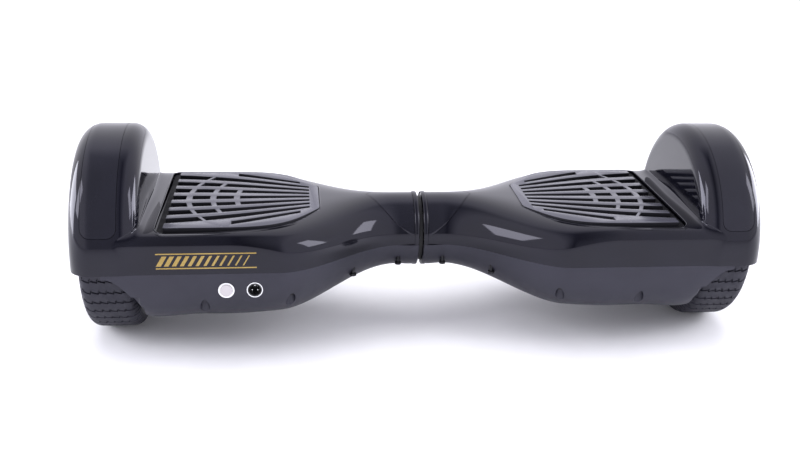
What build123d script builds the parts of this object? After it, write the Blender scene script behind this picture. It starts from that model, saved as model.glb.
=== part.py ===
"""Self balancing two-wheel board: two half boards that twist about a central pivot tube.

Frame: X along the board (+X is the rider's right when facing -Y), -Y is the front with the
power button and charging socket, Z up from the floor. Millimetres.
Every piece is built for the right half board and mirrored for the left one.
"""
from build123d import *
import os
from math import cos, sin, pi, radians, sqrt

# ---------------------------------------------------------------- overall sizes
TOTAL_LENGTH = 584.0        # over the two fenders
WHEEL_RADIUS = 85.0         # 6.5 inch tyre
FENDER_WIDTH = 56.0
TYRE_CLEARANCE = 3.0        # tyre crown to fender
FENDER_CROWN_WALL = 5.0     # thicker than the rest, for the strip let into it
AXLE_Z = WHEEL_RADIUS
CAVITY_RADIUS = WHEEL_RADIUS + TYRE_CLEARANCE
FENDER_RADIUS = CAVITY_RADIUS + FENDER_CROWN_WALL       # half the overall depth
FENDER_OUTER_X = TOTAL_LENGTH / 2
FENDER_INNER_X = FENDER_OUTER_X - FENDER_WIDTH

# ---------------------------------------------------------------- shells
WALL = 3.0                  # moulded shell wall
DECK_HALF_DEPTH = FENDER_RADIUS - 1.5
DECK_TOP_Z = AXLE_Z + 27.5
SHELL_BOTTOM_Z = AXLE_Z - 55.0                  # flat underside
BELLY_Z = SHELL_BOTTOM_Z - 4.0                  # where the round belly would end without the flat
SECTION_CENTRE_Z = AXLE_Z - 5.0                 # widest level of the deck section
SEAM_Z = AXLE_Z - 7.0       # joint plane between upper and lower shells
NECK_RADIUS = 32.5
PIVOT_Z = AXLE_Z - 2.0
NECK_GAP = 4.0              # gap between the two half boards
LIP_WIDTH, LIP_HEIGHT = 4.0, 1.0                # collar at each half board's end
FLARE_START_X, FLARE_END_X = 20.0, 124.0        # neck to full depth
SQUARE_START_X, SQUARE_END_X = 25.0, 165.0      # round section to squared section
DECK_SQUARENESS = 9.0       # superellipse power of the section above its centre
BELLY_SQUARENESS = 3.5      # and below it
SECTION_POINTS = 64
EAR_END_X = FENDER_INNER_X + 30.0               # lower shell's reach beside the tyre
EAR_TIP_HEIGHT = 3.5

FENDER_WALL = 3.0
FENDER_INNER_ROUND = 14.0
FENDER_OUTER_ROUND = 18.0
FENDER_LIP_RADIUS = FENDER_RADIUS - FENDER_OUTER_ROUND  # open outer side of the fender

INLAY_THICKNESS = 1.2       # fender strip and neck panel
INLAY_GAP = 0.35
INLAY_BED = 0.15            # under the inlays, for adhesive
STRIP_START, STRIP_WIDTH = 16.0, 28.0           # strip on the fender, from its inner face
STRIP_BOTTOM_Z = AXLE_Z + 24.0
STRIP_CORNER = 8.0
PANEL_LENGTH = 47.0         # neck panel, tip to the board's centre
PANEL_BOTTOM_Z = PIVOT_Z + 4.5

# ---------------------------------------------------------------- foot pads
PAD_OUTER_X, PAD_INNER_X = FENDER_INNER_X - 12.0, 89.0
PAD_OUTER_HALF, PAD_INNER_HALF = DECK_HALF_DEPTH - 7.5, 34.0
PAD_BOW = [(118.0, PAD_OUTER_HALF - 18.0), (168.0, PAD_OUTER_HALF - 2.5)]       # on its bowed sides
PAD_CORNER = 10.0
PAD_RECESS_Z = DECK_TOP_Z - 6.0                 # floor of the recess in the deck
PAD_FLOOR = 3.0
PAD_TRAVEL = 1.5
PAD_SIDE_GAP = 0.8
PAD_PLATE_THICKNESS = 1.5
PAD_RUBBER_THICKNESS = 3.6
PUSHER_RADIUS = 4.0
PUSHER_SITES = [(125.0, 36.0), (PAD_OUTER_X - 34.0, 50.0)]
PUSHER_END_Z = PAD_RECESS_Z - 6.5
SLIDE_GAP = 0.2             # what is left between pusher and switch at full travel

# ---------------------------------------------------------------- screws and their wells
WELL_RADIUS = 4.0
WELL_SITES = [(20.0, 26.0, SEAM_Z - 18.0), (61.0, 46.0, SEAM_Z - 20.0),
              (115.0, DECK_HALF_DEPTH - 8.0, SEAM_Z - 20.0), (185.0, DECK_HALF_DEPTH - 6.0, SEAM_Z - 20.0)]
BOSS_RADIUS = 4.2
SHELL_SCREW_RADIUS = 1.5
SHELL_SCREW_HEAD = 2.8
SHELL_SCREW_GRIP = 3.0      # plastic between the well and the screw head's seat
SHELL_SCREW_BITE = 12.0     # length in the upper shell
EAR_MARK_X, EAR_MARK_Y, EAR_MARK_TOP_Z = FENDER_INNER_X + 4.0, FENDER_RADIUS - 4.0, SEAM_Z - 20.0

# ---------------------------------------------------------------- frame, axle, pivot
FRAME_TOP_Z = AXLE_Z + 6.0
FRAME_PLATE = 3.0
FRAME_HALF_DEPTH = 46.0
FRAME_RIB = 3.0
FRAME_RIB_BOTTOM_Z = AXLE_Z - 19.0
FRAME_START_X, FRAME_END_X = 70.0, FENDER_INNER_X - 6.0
GUSSET_X, GUSSET_HALF_DEPTH, GUSSET_DROP = 56.0, 30.0, 6.0
TUBE_RADIUS = 12.0
TUBE_BORE = TUBE_RADIUS - 3.5
HUB_RADIUS = TUBE_RADIUS + 6.5
HUB_START_X, HUB_END_X = 8.0, 72.0
TUBE_END_X = 66.0
BUSH_WALL, BUSH_LENGTH = 2.5, 12.0
RUNNING_GAP = 0.05          # radial, for turning shafts
BUSH_END_X = 62.0
RING_WIDTH = 2.0
STOP_ANGLE = 12.0           # degrees each way between the half boards
STOP_SCREW_X, STOP_SCREW_RADIUS = 34.0, 3.0
SEAL_RADIUS = NECK_RADIUS - 3.5
SEAL_WIDTH = 3.2

AXLE_RADIUS = 8.0
AXLE_START_X = FENDER_INNER_X - 36.0
SADDLE_X = (AXLE_START_X + 4.0, FRAME_END_X)
CLAMP_X = (SADDLE_X[0] + 2.0, SADDLE_X[1] - 2.0)
CLAMP_HALF_DEPTH = AXLE_RADIUS + 14.0
CLAMP_HEIGHT = AXLE_RADIUS + 7.0
CLAMP_GAP = 0.4
CLAMP_SCREW_RADIUS, CLAMP_SCREW_HEAD, CLAMP_SCREW_HEAD_H = 2.5, 4.2, 4.0
CLAMP_SCREW_SITES = [(CLAMP_X[0] + 5.0, AXLE_RADIUS + 7.0), (CLAMP_X[1] - 5.0, AXLE_RADIUS + 7.0)]
SADDLE_CAP = 5.0            # metal over the axle

# ---------------------------------------------------------------- wheel with hub motor
TYRE_WIDTH = 45.0
TYRE_X = FENDER_OUTER_X - FENDER_WIDTH / 2      # middle of the tyre
RIM_RADIUS = WHEEL_RADIUS - 18.0
TYRE_SHOULDER = 8.0
ROTOR_INNER_RADIUS = RIM_RADIUS - 8.0
ROTOR_WIDTH = 36.0
MAGNET_THICKNESS = 3.0
MAGNET_COUNT = 30
AIR_GAP = 0.8
STATOR_WIDTH = 24.0
STATOR_TEETH = 27
STATOR_YOKE_RADIUS = ROTOR_INNER_RADIUS - 19.0
STATOR_HUB_RADIUS = AXLE_RADIUS + 6.0
TOOTH_WIDTH = 4.4
SHOE_THICKNESS = 2.5
SHOE_WIDTH = 10.6
COIL_THICKNESS = 1.5
COVER_THICKNESS = 4.0
BEARING_OUTER_RADIUS, BEARING_WIDTH = AXLE_RADIUS + 8.0, 8.0
BEARING_WALL = 3.0
COVER_SCREW_COUNT = 6
COVER_SCREW_RADIUS = 1.5
COVER_SCREW_LENGTH = 10.0

# ---------------------------------------------------------------- electronics
BOARD_THICKNESS = 1.6
GYRO_X = (118.0, FENDER_INNER_X - 38.0)
GYRO_HALF_DEPTH = 57.0
GYRO_Z = FRAME_TOP_Z + 3.5
STANDOFF_RADIUS = 3.0
BATTERY_X = (98.0, AXLE_START_X)
BATTERY_HALF_DEPTH = 38.0
BATTERY_Z = (SHELL_BOTTOM_Z + 7.0, SEAM_Z + 1.0)
MAIN_BOARD_X = (86.0, AXLE_START_X - 10.0)
MAIN_BOARD_HALF_DEPTH = 36.0
MAIN_BOARD_Z = AXLE_Z - 23.0
LEAD_RADIUS = 2.5
HARNESS_RADIUS = 5.0

# ---------------------------------------------------------------- button and socket (left front)
BUTTON_X, SOCKET_X, PANEL_PARTS_Z = 167.0, 144.0, AXLE_Z - 21.5
BEZEL_RADIUS = 6.6
BARREL_RADIUS = 6.0
BUTTON_RADIUS = 5.0
BUTTON_GAP = 0.1
BUTTON_TRAVEL = 1.2
SEAT_Y = 1.3 - DECK_HALF_DEPTH                  # flat seat cut in the curved shell
FLANGE = 1.4
BARREL_DEPTH = 11.0
CUP_FLOOR = 2.0
PIN_RADIUS, PIN_CIRCLE, PIN_LENGTH = 0.8, 2.7, 4.2

# ---------------------------------------------------------------- worked-out sizes
SHELL_START_X = NECK_GAP / 2
BELLOW = 400.0              # larger than the board, for cutting half spaces
PAD_PLATE_Z = PAD_RECESS_Z + PAD_TRAVEL + 0.1
PAD_RUBBER_Z = PAD_PLATE_Z + PAD_PLATE_THICKNESS
SWITCH_TOP_Z = PUSHER_END_Z - PAD_TRAVEL - SLIDE_GAP
X_AXIS_AT_AXLE = Axis((0, 0, AXLE_Z), (1, 0, 0))
X_AXIS_AT_PIVOT = Axis((0, 0, PIVOT_Z), (1, 0, 0))

os.makedirs("parts", exist_ok=True)


# ================================================================ helpers
def emit(name, shape):
    """Write one node, as a compound of its separate solids."""
    solids = shape.solids()
    export_step(solids[0] if len(solids) == 1 else Compound(children=solids), f"parts/{name}.step")


def emit_pair(name, shape):
    """Write a piece of the right half board and its mirror image on the left."""
    emit(f"right_{name}", shape)
    emit(f"left_{name}", mirror(shape, about=Plane.YZ))


def block(x, y, z):
    """Box between two corners given as (low, high) pairs."""
    size = (x[1] - x[0], y[1] - y[0], z[1] - z[0])
    return Pos((x[0] + x[1]) / 2, (y[0] + y[1]) / 2, (z[0] + z[1]) / 2) * Box(*size)


def x_cylinder(radius, x, z=None, y=0.0):
    """Cylinder along X between two X values."""
    z = AXLE_Z if z is None else z
    return Pos((x[0] + x[1]) / 2, y, z) * Rot(0, 90, 0) * Cylinder(radius, x[1] - x[0])


def y_cylinder(radius, x, y, z):
    """Cylinder along Y between two Y values."""
    return Pos(x, (y[0] + y[1]) / 2, z) * Rot(90, 0, 0) * Cylinder(radius, y[1] - y[0])


def z_cylinder(radius, x, y, z):
    """Cylinder along Z between two Z values."""
    return Pos(x, y, (z[0] + z[1]) / 2) * Cylinder(radius, z[1] - z[0])


def x_ring(outer, inner, x, z=None):
    return x_cylinder(outer, x, z) - x_cylinder(inner, (x[0] - 1, x[1] + 1), z)


def both_sides(sites):
    """Each (x, y, ...) site and its mirror image across the board's mid plane."""
    return [(s[0], sign * s[1], *s[2:]) for s in sites for sign in (-1, 1)]


def ease(x, start, end):
    """Smooth step from 0 at start to 1 at end."""
    t = min(max((x - start) / (end - start), 0.0), 1.0)
    return t * t * (3 - 2 * t)


# ================================================================ the shells' outer form
def section_sizes(x):
    """Half depth, centre height, top, bottom and the two powers of the section at x."""
    flare = ease(x, FLARE_START_X, FLARE_END_X)
    square = ease(x, SQUARE_START_X, SQUARE_END_X)
    half = NECK_RADIUS + (DECK_HALF_DEPTH - NECK_RADIUS) * flare
    centre = PIVOT_Z + (SECTION_CENTRE_Z - PIVOT_Z) * flare
    neck_top, neck_bottom = PIVOT_Z + NECK_RADIUS, PIVOT_Z - NECK_RADIUS
    top = neck_top + (DECK_TOP_Z - neck_top) * flare
    bottom = neck_bottom + (BELLY_Z - neck_bottom) * flare
    top_power = 1 / (0.5 + (1 / DECK_SQUARENESS - 0.5) * square)
    belly_power = 1 / (0.5 + (1 / BELLY_SQUARENESS - 0.5) * square)
    return half, centre, top, bottom, top_power, belly_power


def section(x, inset):
    """Superellipse section of the board at x, drawn in by inset."""
    half, centre, top, bottom, top_power, belly_power = section_sizes(x)
    points = []
    for i in range(SECTION_POINTS):
        turn = 2 * pi * i / SECTION_POINTS
        angle = turn + sin(4 * turn) / 8        # closer points round the corners
        across, up = cos(angle), sin(angle)
        power = top_power if up >= 0 else belly_power
        height = (top - centre if up >= 0 else centre - bottom) - inset
        reach = (abs(across) ** power + abs(up) ** power) ** (-1 / power)
        points.append((x, (half - inset) * across * reach, centre + height * up * reach))
    steps = [i / SECTION_POINTS for i in range(SECTION_POINTS + 1)]
    return Face(Wire([Edge.make_spline(points, periodic=True, parameters=steps)]))


def envelope(x_start, x_end, inset=0.0):
    """Loft of the board's sections between two X values."""
    stations = [x for x in range(20, 171, 10) if x_start + 2 < x < x_end - 2]
    stations += [x for x in (AXLE_START_X, FENDER_INNER_X - 1) if x < x_end - 2]
    return Part() + loft([section(x, inset) for x in [x_start, *stations, x_end]])


def fender_form(inset=0.0):
    """Solid of revolution of the fender, drawn in by inset from its skin."""
    inner, outer, crown = FENDER_INNER_X + inset, FENDER_OUTER_X - inset, FENDER_RADIUS - inset
    r_in, r_out = FENDER_INNER_ROUND - inset, FENDER_OUTER_ROUND - inset
    k = sqrt(0.5)
    profile = Polyline((inner, 0, AXLE_Z), (inner, 0, AXLE_Z + crown - r_in))
    profile += ThreePointArc((inner, 0, AXLE_Z + crown - r_in),
                             (inner + r_in * (1 - k), 0, AXLE_Z + crown - r_in * (1 - k)),
                             (inner + r_in, 0, AXLE_Z + crown))
    profile += Line((inner + r_in, 0, AXLE_Z + crown), (outer - r_out, 0, AXLE_Z + crown))
    profile += ThreePointArc((outer - r_out, 0, AXLE_Z + crown),
                             (outer - r_out * (1 - k), 0, AXLE_Z + crown - r_out * (1 - k)),
                             (outer, 0, AXLE_Z + crown - r_out))
    profile += Polyline((outer, 0, AXLE_Z + crown - r_out), (outer, 0, AXLE_Z), (inner, 0, AXLE_Z))
    return revolve(make_face(profile), X_AXIS_AT_AXLE)


def wheel_cavity():
    """Room for the tyre under the fender, open to the outside below the lip."""
    inner, outer = FENDER_INNER_X + FENDER_WALL, FENDER_OUTER_X - FENDER_WALL
    room = fender_form(FENDER_WALL) & x_cylinder(CAVITY_RADIUS, (inner, outer))
    return room + x_cylinder(FENDER_LIP_RADIUS, (TYRE_X, FENDER_OUTER_X + 5))


def above(z):
    return block((-BELLOW, BELLOW), (-BELLOW, BELLOW), (z, z + BELLOW))


def below(z):
    return block((-BELLOW, BELLOW), (-BELLOW, BELLOW), (z - BELLOW, z))


def pad_outline(grow):
    """Foot pad outline, straight at both ends with bowed sides, grown by grow."""
    corner_x, corner_y = PAD_OUTER_X - PAD_CORNER, PAD_OUTER_HALF - PAD_CORNER
    inner_y = PAD_INNER_HALF - 6
    bow = Spline((PAD_INNER_X, inner_y), (PAD_INNER_X + 3.5, PAD_INNER_HALF + 2), *PAD_BOW,
                 (corner_x, PAD_OUTER_HALF), tangents=((0, 1), (1, 0)))
    grown = []
    for i in range(13):
        along = bow % (i / 12)
        point = bow @ (i / 12)
        grown.append((point.X - grow * along.Y, point.Y + grow * along.X))
    outer_x, outer_y, radius = PAD_OUTER_X + grow, PAD_OUTER_HALF + grow, PAD_CORNER + grow
    middle = radius * sqrt(0.5)
    half = Curve() + [
        Line((PAD_INNER_X - grow, 0), grown[0]),
        Spline(*grown, tangents=((0, 1), (1, 0))),
        ThreePointArc((corner_x, outer_y), (corner_x + middle, corner_y + middle), (outer_x, corner_y)),
        Line((outer_x, corner_y), (outer_x, 0))]
    return make_face(half + mirror(half, about=Plane.XZ))


def pad_block(grow, z):
    return extrude(Pos(0, 0, z[0]) * pad_outline(grow), z[1] - z[0])


def panel_prism(grow):
    """Vertical prism of the leaf-shaped neck panel, pointed towards the pad."""
    edge_y = NECK_RADIUS + 0.1 + grow
    leaf = [(PANEL_LENGTH + 1.4 * grow, 0), (0.81 * PANEL_LENGTH + grow, 0.49 * NECK_RADIUS + grow),
            (0.53 * PANEL_LENGTH + grow, 0.855 * NECK_RADIUS + grow),
            (0.26 * PANEL_LENGTH, 0.972 * NECK_RADIUS + grow), (SHELL_START_X - 2, edge_y)]
    half = Curve() + [Spline(*leaf), Line(leaf[-1], (leaf[-1][0], 0))]
    outline = make_face(half + mirror(half, about=Plane.XZ))
    return extrude(Pos(0, 0, PANEL_BOTTOM_Z - grow) * outline, 60)


def strip_prism(grow):
    """Prism along Y of the fender strip with its rounded lower corners."""
    x = (FENDER_INNER_X + STRIP_START - grow, FENDER_INNER_X + STRIP_START + STRIP_WIDTH + grow)
    bar = block(x, (-BELLOW, BELLOW), (STRIP_BOTTOM_Z - grow, STRIP_BOTTOM_Z + 100))
    corners = bar.edges().filter_by(Axis.Y).group_by(Axis.Z)[0]
    return fillet(corners, STRIP_CORNER)


# ================================================================ shells
def neck_lip():
    """Small rounded collar where each half board ends at the pivot."""
    x = (SHELL_START_X, SHELL_START_X + LIP_WIDTH)
    return fillet(x_cylinder(NECK_RADIUS + LIP_HEIGHT, x, PIVOT_Z).edges(), 0.9 * LIP_HEIGHT)


def upper_shell():
    skin = envelope(SHELL_START_X, EAR_END_X) + fender_form() + neck_lip()
    hollow = envelope(SHELL_START_X - 1, FENDER_INNER_X, WALL) & above(SEAM_Z - 1)
    hollow -= pad_block(WALL, (PAD_RECESS_Z - PAD_FLOOR, DECK_TOP_Z + 20))
    for x, y, _ in both_sides(WELL_SITES):
        hollow -= z_cylinder(BOSS_RADIUS, x, y, (SEAM_Z - 5, SEAM_Z + SHELL_SCREW_BITE + 6))
    shell = (skin & above(SEAM_Z)) - hollow - wheel_cavity()
    shell -= pad_block(0, (PAD_RECESS_Z, DECK_TOP_Z + 20))
    for x, y in both_sides(PUSHER_SITES):
        shell -= z_cylinder(PUSHER_RADIUS + PAD_SIDE_GAP, x, y, (PAD_RECESS_Z - 10, PAD_RECESS_Z + 1))
    for x, y, _ in both_sides(WELL_SITES):
        shell -= z_cylinder(SHELL_SCREW_RADIUS, x, y, (SEAM_Z - 1, SEAM_Z + SHELL_SCREW_BITE))
    shell -= strip_layer(INLAY_THICKNESS + INLAY_BED, INLAY_GAP, proud=1.0)
    shell -= panel_layer(INLAY_THICKNESS + INLAY_BED, INLAY_GAP, proud=1.0)
    return shell - axle_notch()


def axle_notch():
    """Opening for the axle through the shells' end walls, reaching down to the seam."""
    x = (FENDER_INNER_X - 10, FENDER_INNER_X + 5)
    hole = x_cylinder(AXLE_RADIUS + 1, x)
    return hole + block(x, (-AXLE_RADIUS - 1, AXLE_RADIUS + 1), (SEAM_Z - 0.5, AXLE_Z))


def strip_layer(depth, grow, proud=0.0):
    layer = (fender_form(-proud) if proud else fender_form()) - fender_form(depth)
    return layer & strip_prism(grow)


def panel_layer(depth, grow, proud=0.0):
    """Skin of the neck under the panel prism, depth thick, starting behind the lip."""
    x = (SHELL_START_X + LIP_WIDTH + INLAY_GAP - grow, PANEL_LENGTH + 10)
    layer = envelope(x[0], x[1], -proud) - envelope(x[0] - 1, x[1] + 1, depth)
    return layer & panel_prism(grow)


def ear_cut():
    """Side outline of the lower shell: everything kept lies inside this prism."""
    tip_z = SEAM_Z - EAR_TIP_HEIGHT
    curve = Spline((FENDER_INNER_X - 2, SEAM_Z - 34), (FENDER_INNER_X + 2, SEAM_Z - 27),
                   (FENDER_INNER_X + 9, SEAM_Z - 18), (FENDER_INNER_X + 17, SEAM_Z - 9), (EAR_END_X, tip_z),
                   tangents=((0.1, 1), (1, 0.1)))
    rest = Polyline((EAR_END_X, tip_z), (EAR_END_X, SEAM_Z + 5), (0, SEAM_Z + 5), (0, BELLY_Z - 6),
                    (FENDER_INNER_X - 3, BELLY_Z - 6), (FENDER_INNER_X - 2, SEAM_Z - 34))
    return extrude(Plane.XZ * make_face(Curve() + [curve, rest]), BELLOW / 2, both=True)


def lower_shell():
    skin = envelope(SHELL_START_X, EAR_END_X) + neck_lip()
    skin = skin & below(SEAM_Z) & above(SHELL_BOTTOM_Z) & ear_cut()
    end_wall_x = FENDER_INNER_X - WALL - 2
    hollow = envelope(SHELL_START_X - 1, end_wall_x, WALL) & above(SHELL_BOTTOM_Z + WALL)
    for x, y, well_top in both_sides(WELL_SITES):
        hollow -= z_cylinder(BOSS_RADIUS + 1.3, x, y, (well_top - 2, SEAM_Z + 5))
        hollow -= z_cylinder(WELL_RADIUS + 2, x, y, (0, well_top + SHELL_SCREW_GRIP))
    shell = skin - hollow - x_cylinder(CAVITY_RADIUS, (FENDER_INNER_X, TOTAL_LENGTH))
    for x, y, well_top in both_sides(WELL_SITES):
        shell -= z_cylinder(WELL_RADIUS, x, y, (0, well_top))
        shell -= z_cylinder(SHELL_SCREW_RADIUS + 0.2, x, y, (well_top - 1, SEAM_Z + 1))
    for y in (-EAR_MARK_Y, EAR_MARK_Y):
        shell -= z_cylinder(WELL_RADIUS - 0.5, EAR_MARK_X, y, (0, EAR_MARK_TOP_Z))
    return shell - axle_notch()


def front_openings():
    """Holes in the left lower shell's front for the button bezel and the charging socket."""
    cut = Part()
    for x in (-BUTTON_X, -SOCKET_X):
        cut += y_cylinder(BEZEL_RADIUS + 0.3, x, (SEAT_Y - 20, SEAT_Y), PANEL_PARTS_Z)
        cut += y_cylinder(BARREL_RADIUS, x, (SEAT_Y - 1, SEAT_Y + 15), PANEL_PARTS_Z)
    return cut


def shell_screws():
    screws = Part()
    for x, y, well_top in both_sides(WELL_SITES):
        screws += z_cylinder(SHELL_SCREW_RADIUS, x, y, (well_top, SEAM_Z + SHELL_SCREW_BITE - 1))
        screws += z_cylinder(SHELL_SCREW_HEAD, x, y, (well_top - 2, well_top))
    return screws


# ================================================================ foot pad
def foot_pad():
    pad = pad_block(-PAD_SIDE_GAP, (PAD_RUBBER_Z, PAD_RUBBER_Z + PAD_RUBBER_THICKNESS))
    return pad


def pad_plate():
    plate = pad_block(-PAD_SIDE_GAP - 0.7, (PAD_PLATE_Z, PAD_RUBBER_Z))
    for x, y in both_sides(PUSHER_SITES):
        plate += z_cylinder(PUSHER_RADIUS, x, y, (PUSHER_END_Z, PAD_PLATE_Z + 0.5))
    return plate


# ================================================================ frame and pivot
def frame(bore):
    """Cast aluminium frame: pivot hub, top plate, side ribs, axle saddle and board standoffs."""
    casting = x_cylinder(HUB_RADIUS, (HUB_START_X, HUB_END_X), PIVOT_Z)
    x = (FRAME_START_X, FRAME_END_X)
    casting += block(x, (-FRAME_HALF_DEPTH, FRAME_HALF_DEPTH), (FRAME_TOP_Z - FRAME_PLATE, FRAME_TOP_Z))
    for sign in (-1, 1):
        y = sorted((sign * FRAME_HALF_DEPTH, sign * (FRAME_HALF_DEPTH - FRAME_RIB)))
        casting += block((x[0] + 6, x[1]), y, (FRAME_RIB_BOTTOM_Z, FRAME_TOP_Z))
    casting += block((GUSSET_X, FRAME_START_X + 6), (-GUSSET_HALF_DEPTH, GUSSET_HALF_DEPTH),
                     (PIVOT_Z - GUSSET_DROP, FRAME_TOP_Z))
    saddle_top = AXLE_Z + AXLE_RADIUS + SADDLE_CAP
    casting += block(SADDLE_X, (-CLAMP_HALF_DEPTH, CLAMP_HALF_DEPTH), (AXLE_Z, saddle_top))
    for px, py in both_sides([(GYRO_X[0] + 5, 30.0), (GYRO_X[1] - 5, 30.0)]):
        casting += z_cylinder(STANDOFF_RADIUS, px, py, (FRAME_TOP_Z - 1, GYRO_Z))
    casting -= x_cylinder(bore, (0, HUB_END_X + 5), PIVOT_Z)
    casting -= x_cylinder(AXLE_RADIUS, (AXLE_START_X - 5, FRAME_END_X + 5))
    for px, py in both_sides(CLAMP_SCREW_SITES):
        casting -= z_cylinder(CLAMP_SCREW_RADIUS, px, py, (AXLE_Z - 1, AXLE_Z + 9))
    return casting


def stop_slot():
    """Slot in the right hub that lets the stop screw swing by STOP_ANGLE each way."""
    reach = HUB_RADIUS + 1
    half = reach * sin(radians(STOP_ANGLE)) + STOP_SCREW_RADIUS + 0.3
    x = (STOP_SCREW_X - STOP_SCREW_RADIUS - 0.4, STOP_SCREW_X + STOP_SCREW_RADIUS + 0.4)
    return block(x, (-half, half), (PIVOT_Z - reach - 5, PIVOT_Z - 8))


def pivot_bushes():
    bushes = Part()
    for x in ((HUB_START_X, HUB_START_X + BUSH_LENGTH), (BUSH_END_X - BUSH_LENGTH, BUSH_END_X)):
        bushes += x_ring(TUBE_RADIUS + BUSH_WALL, TUBE_RADIUS + RUNNING_GAP, x, PIVOT_Z)
    return bushes


def pivot_tube():
    tube = x_ring(TUBE_RADIUS, TUBE_BORE, (-HUB_END_X, TUBE_END_X), PIVOT_Z)
    hole = z_cylinder(STOP_SCREW_RADIUS, STOP_SCREW_X, 0, (PIVOT_Z - TUBE_RADIUS - 1, PIVOT_Z - TUBE_BORE + 2))
    return tube - hole


def stop_screw():
    length = (PIVOT_Z - HUB_RADIUS - 0.5, PIVOT_Z - TUBE_BORE - 0.8)
    return z_cylinder(STOP_SCREW_RADIUS, STOP_SCREW_X, 0, length)


def retaining_ring():
    x = (BUSH_END_X + 0.3, BUSH_END_X + 0.3 + RING_WIDTH)
    return x_ring(TUBE_RADIUS + BUSH_WALL - 0.5, TUBE_RADIUS, x, PIVOT_Z)


def neck_seal():
    """Rubber ring that closes the gap between the half boards, set in from the skin."""
    return x_ring(SEAL_RADIUS, TUBE_RADIUS, (-SEAL_WIDTH / 2, SEAL_WIDTH / 2), PIVOT_Z)


def axle_clamp():
    z = (AXLE_Z - CLAMP_GAP - CLAMP_HEIGHT, AXLE_Z - CLAMP_GAP)
    clamp = block(CLAMP_X, (-CLAMP_HALF_DEPTH, CLAMP_HALF_DEPTH), z)
    clamp -= x_cylinder(AXLE_RADIUS, (CLAMP_X[0] - 1, CLAMP_X[1] + 1))
    for x, y in both_sides(CLAMP_SCREW_SITES):
        clamp -= z_cylinder(CLAMP_SCREW_RADIUS + 0.2, x, y, (z[0] - 1, z[1] + 1))
    return clamp


def clamp_screws():
    screws = Part()
    seat = AXLE_Z - CLAMP_GAP - CLAMP_HEIGHT
    for x, y in both_sides(CLAMP_SCREW_SITES):
        screws += z_cylinder(CLAMP_SCREW_RADIUS, x, y, (seat, AXLE_Z + 8))
        head = z_cylinder(CLAMP_SCREW_HEAD, x, y, (seat - CLAMP_SCREW_HEAD_H, seat))
        screws += head - z_cylinder(1.5, x, y, (seat - CLAMP_SCREW_HEAD_H - 1, seat - 1.5))
    return screws


# ================================================================ wheel with hub motor
COVER_IN_X = (TYRE_X - TYRE_WIDTH / 2, TYRE_X - TYRE_WIDTH / 2 + COVER_THICKNESS)
COVER_OUT_X = (TYRE_X + TYRE_WIDTH / 2 - COVER_THICKNESS, TYRE_X + TYRE_WIDTH / 2)
BEARING_IN_X = (COVER_IN_X[1] - COVER_THICKNESS + 1, COVER_IN_X[1] - COVER_THICKNESS + 1 + BEARING_WIDTH)
BEARING_OUT_X = (COVER_OUT_X[1] - 1.5 - BEARING_WIDTH, COVER_OUT_X[1] - 1.5)
AXLE_END_X = BEARING_OUT_X[1]


def axle():
    shaft = x_cylinder(AXLE_RADIUS, (AXLE_START_X, AXLE_END_X))
    return shaft - x_cylinder(LEAD_RADIUS, (AXLE_START_X - 1, TYRE_X - STATOR_WIDTH / 2 - 4))


def stator_core():
    """Laminated core with teeth and shoes, on a spider pressed on the axle."""
    x = (TYRE_X - STATOR_WIDTH / 2, TYRE_X + STATOR_WIDTH / 2)
    tip = ROTOR_INNER_RADIUS - MAGNET_THICKNESS - AIR_GAP
    core = x_ring(STATOR_YOKE_RADIUS, STATOR_YOKE_RADIUS - 6, x)
    core += x_ring(STATOR_HUB_RADIUS, AXLE_RADIUS, x)
    core += x_ring(STATOR_YOKE_RADIUS - 5, STATOR_HUB_RADIUS - 1, (TYRE_X - 3, TYRE_X + 3))
    tooth = block(x, (-TOOTH_WIDTH / 2, TOOTH_WIDTH / 2), (STATOR_YOKE_RADIUS - 1, tip - 1))
    shoe = block(x, (-SHOE_WIDTH / 2, SHOE_WIDTH / 2), (tip - SHOE_THICKNESS, tip + 1))
    shoe = shoe & x_cylinder(tip, x, 0)
    blade = tooth + shoe
    for i in range(STATOR_TEETH):
        core += Pos(0, 0, AXLE_Z) * Rot(360 * i / STATOR_TEETH, 0, 0) * blade
    return core


def stator_windings():
    """Copper coil round every tooth."""
    tip = ROTOR_INNER_RADIUS - MAGNET_THICKNESS - AIR_GAP
    z = (STATOR_YOKE_RADIUS + 0.5, tip - SHOE_THICKNESS - 0.5)
    half, length = TOOTH_WIDTH / 2, STATOR_WIDTH / 2
    outer = block((TYRE_X - length - COIL_THICKNESS, TYRE_X + length + COIL_THICKNESS),
                  (-half - COIL_THICKNESS, half + COIL_THICKNESS), z)
    coil = outer - block((TYRE_X - length, TYRE_X + length), (-half, half), (z[0] - 1, z[1] + 1))
    windings = []
    for i in range(STATOR_TEETH):
        windings.append(Pos(0, 0, AXLE_Z) * Rot(360 * i / STATOR_TEETH, 0, 0) * coil)
    return Compound(children=[w.solid() for w in windings])


def rotor_ring():
    """Steel rotor carrying the tyre, with screw holes for both covers."""
    x = (COVER_IN_X[1], COVER_OUT_X[0])
    return x_ring(RIM_RADIUS, ROTOR_INNER_RADIUS, x) - cover_screw_holes(COVER_SCREW_RADIUS)


def cover_screw_sites():
    middle = (RIM_RADIUS + ROTOR_INNER_RADIUS) / 2
    turns = [2 * pi * (i + 0.5) / COVER_SCREW_COUNT for i in range(COVER_SCREW_COUNT)]
    return [(middle * cos(t), AXLE_Z + middle * sin(t)) for t in turns]


def cover_screw_ends():
    """X ranges of the two sets of cover screws, heads not counted."""
    inner = (COVER_IN_X[0] + 1.5, COVER_IN_X[0] + COVER_SCREW_LENGTH)
    outer = (COVER_OUT_X[1] - COVER_SCREW_LENGTH, COVER_OUT_X[1] - 1.5)
    return inner, outer


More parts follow.
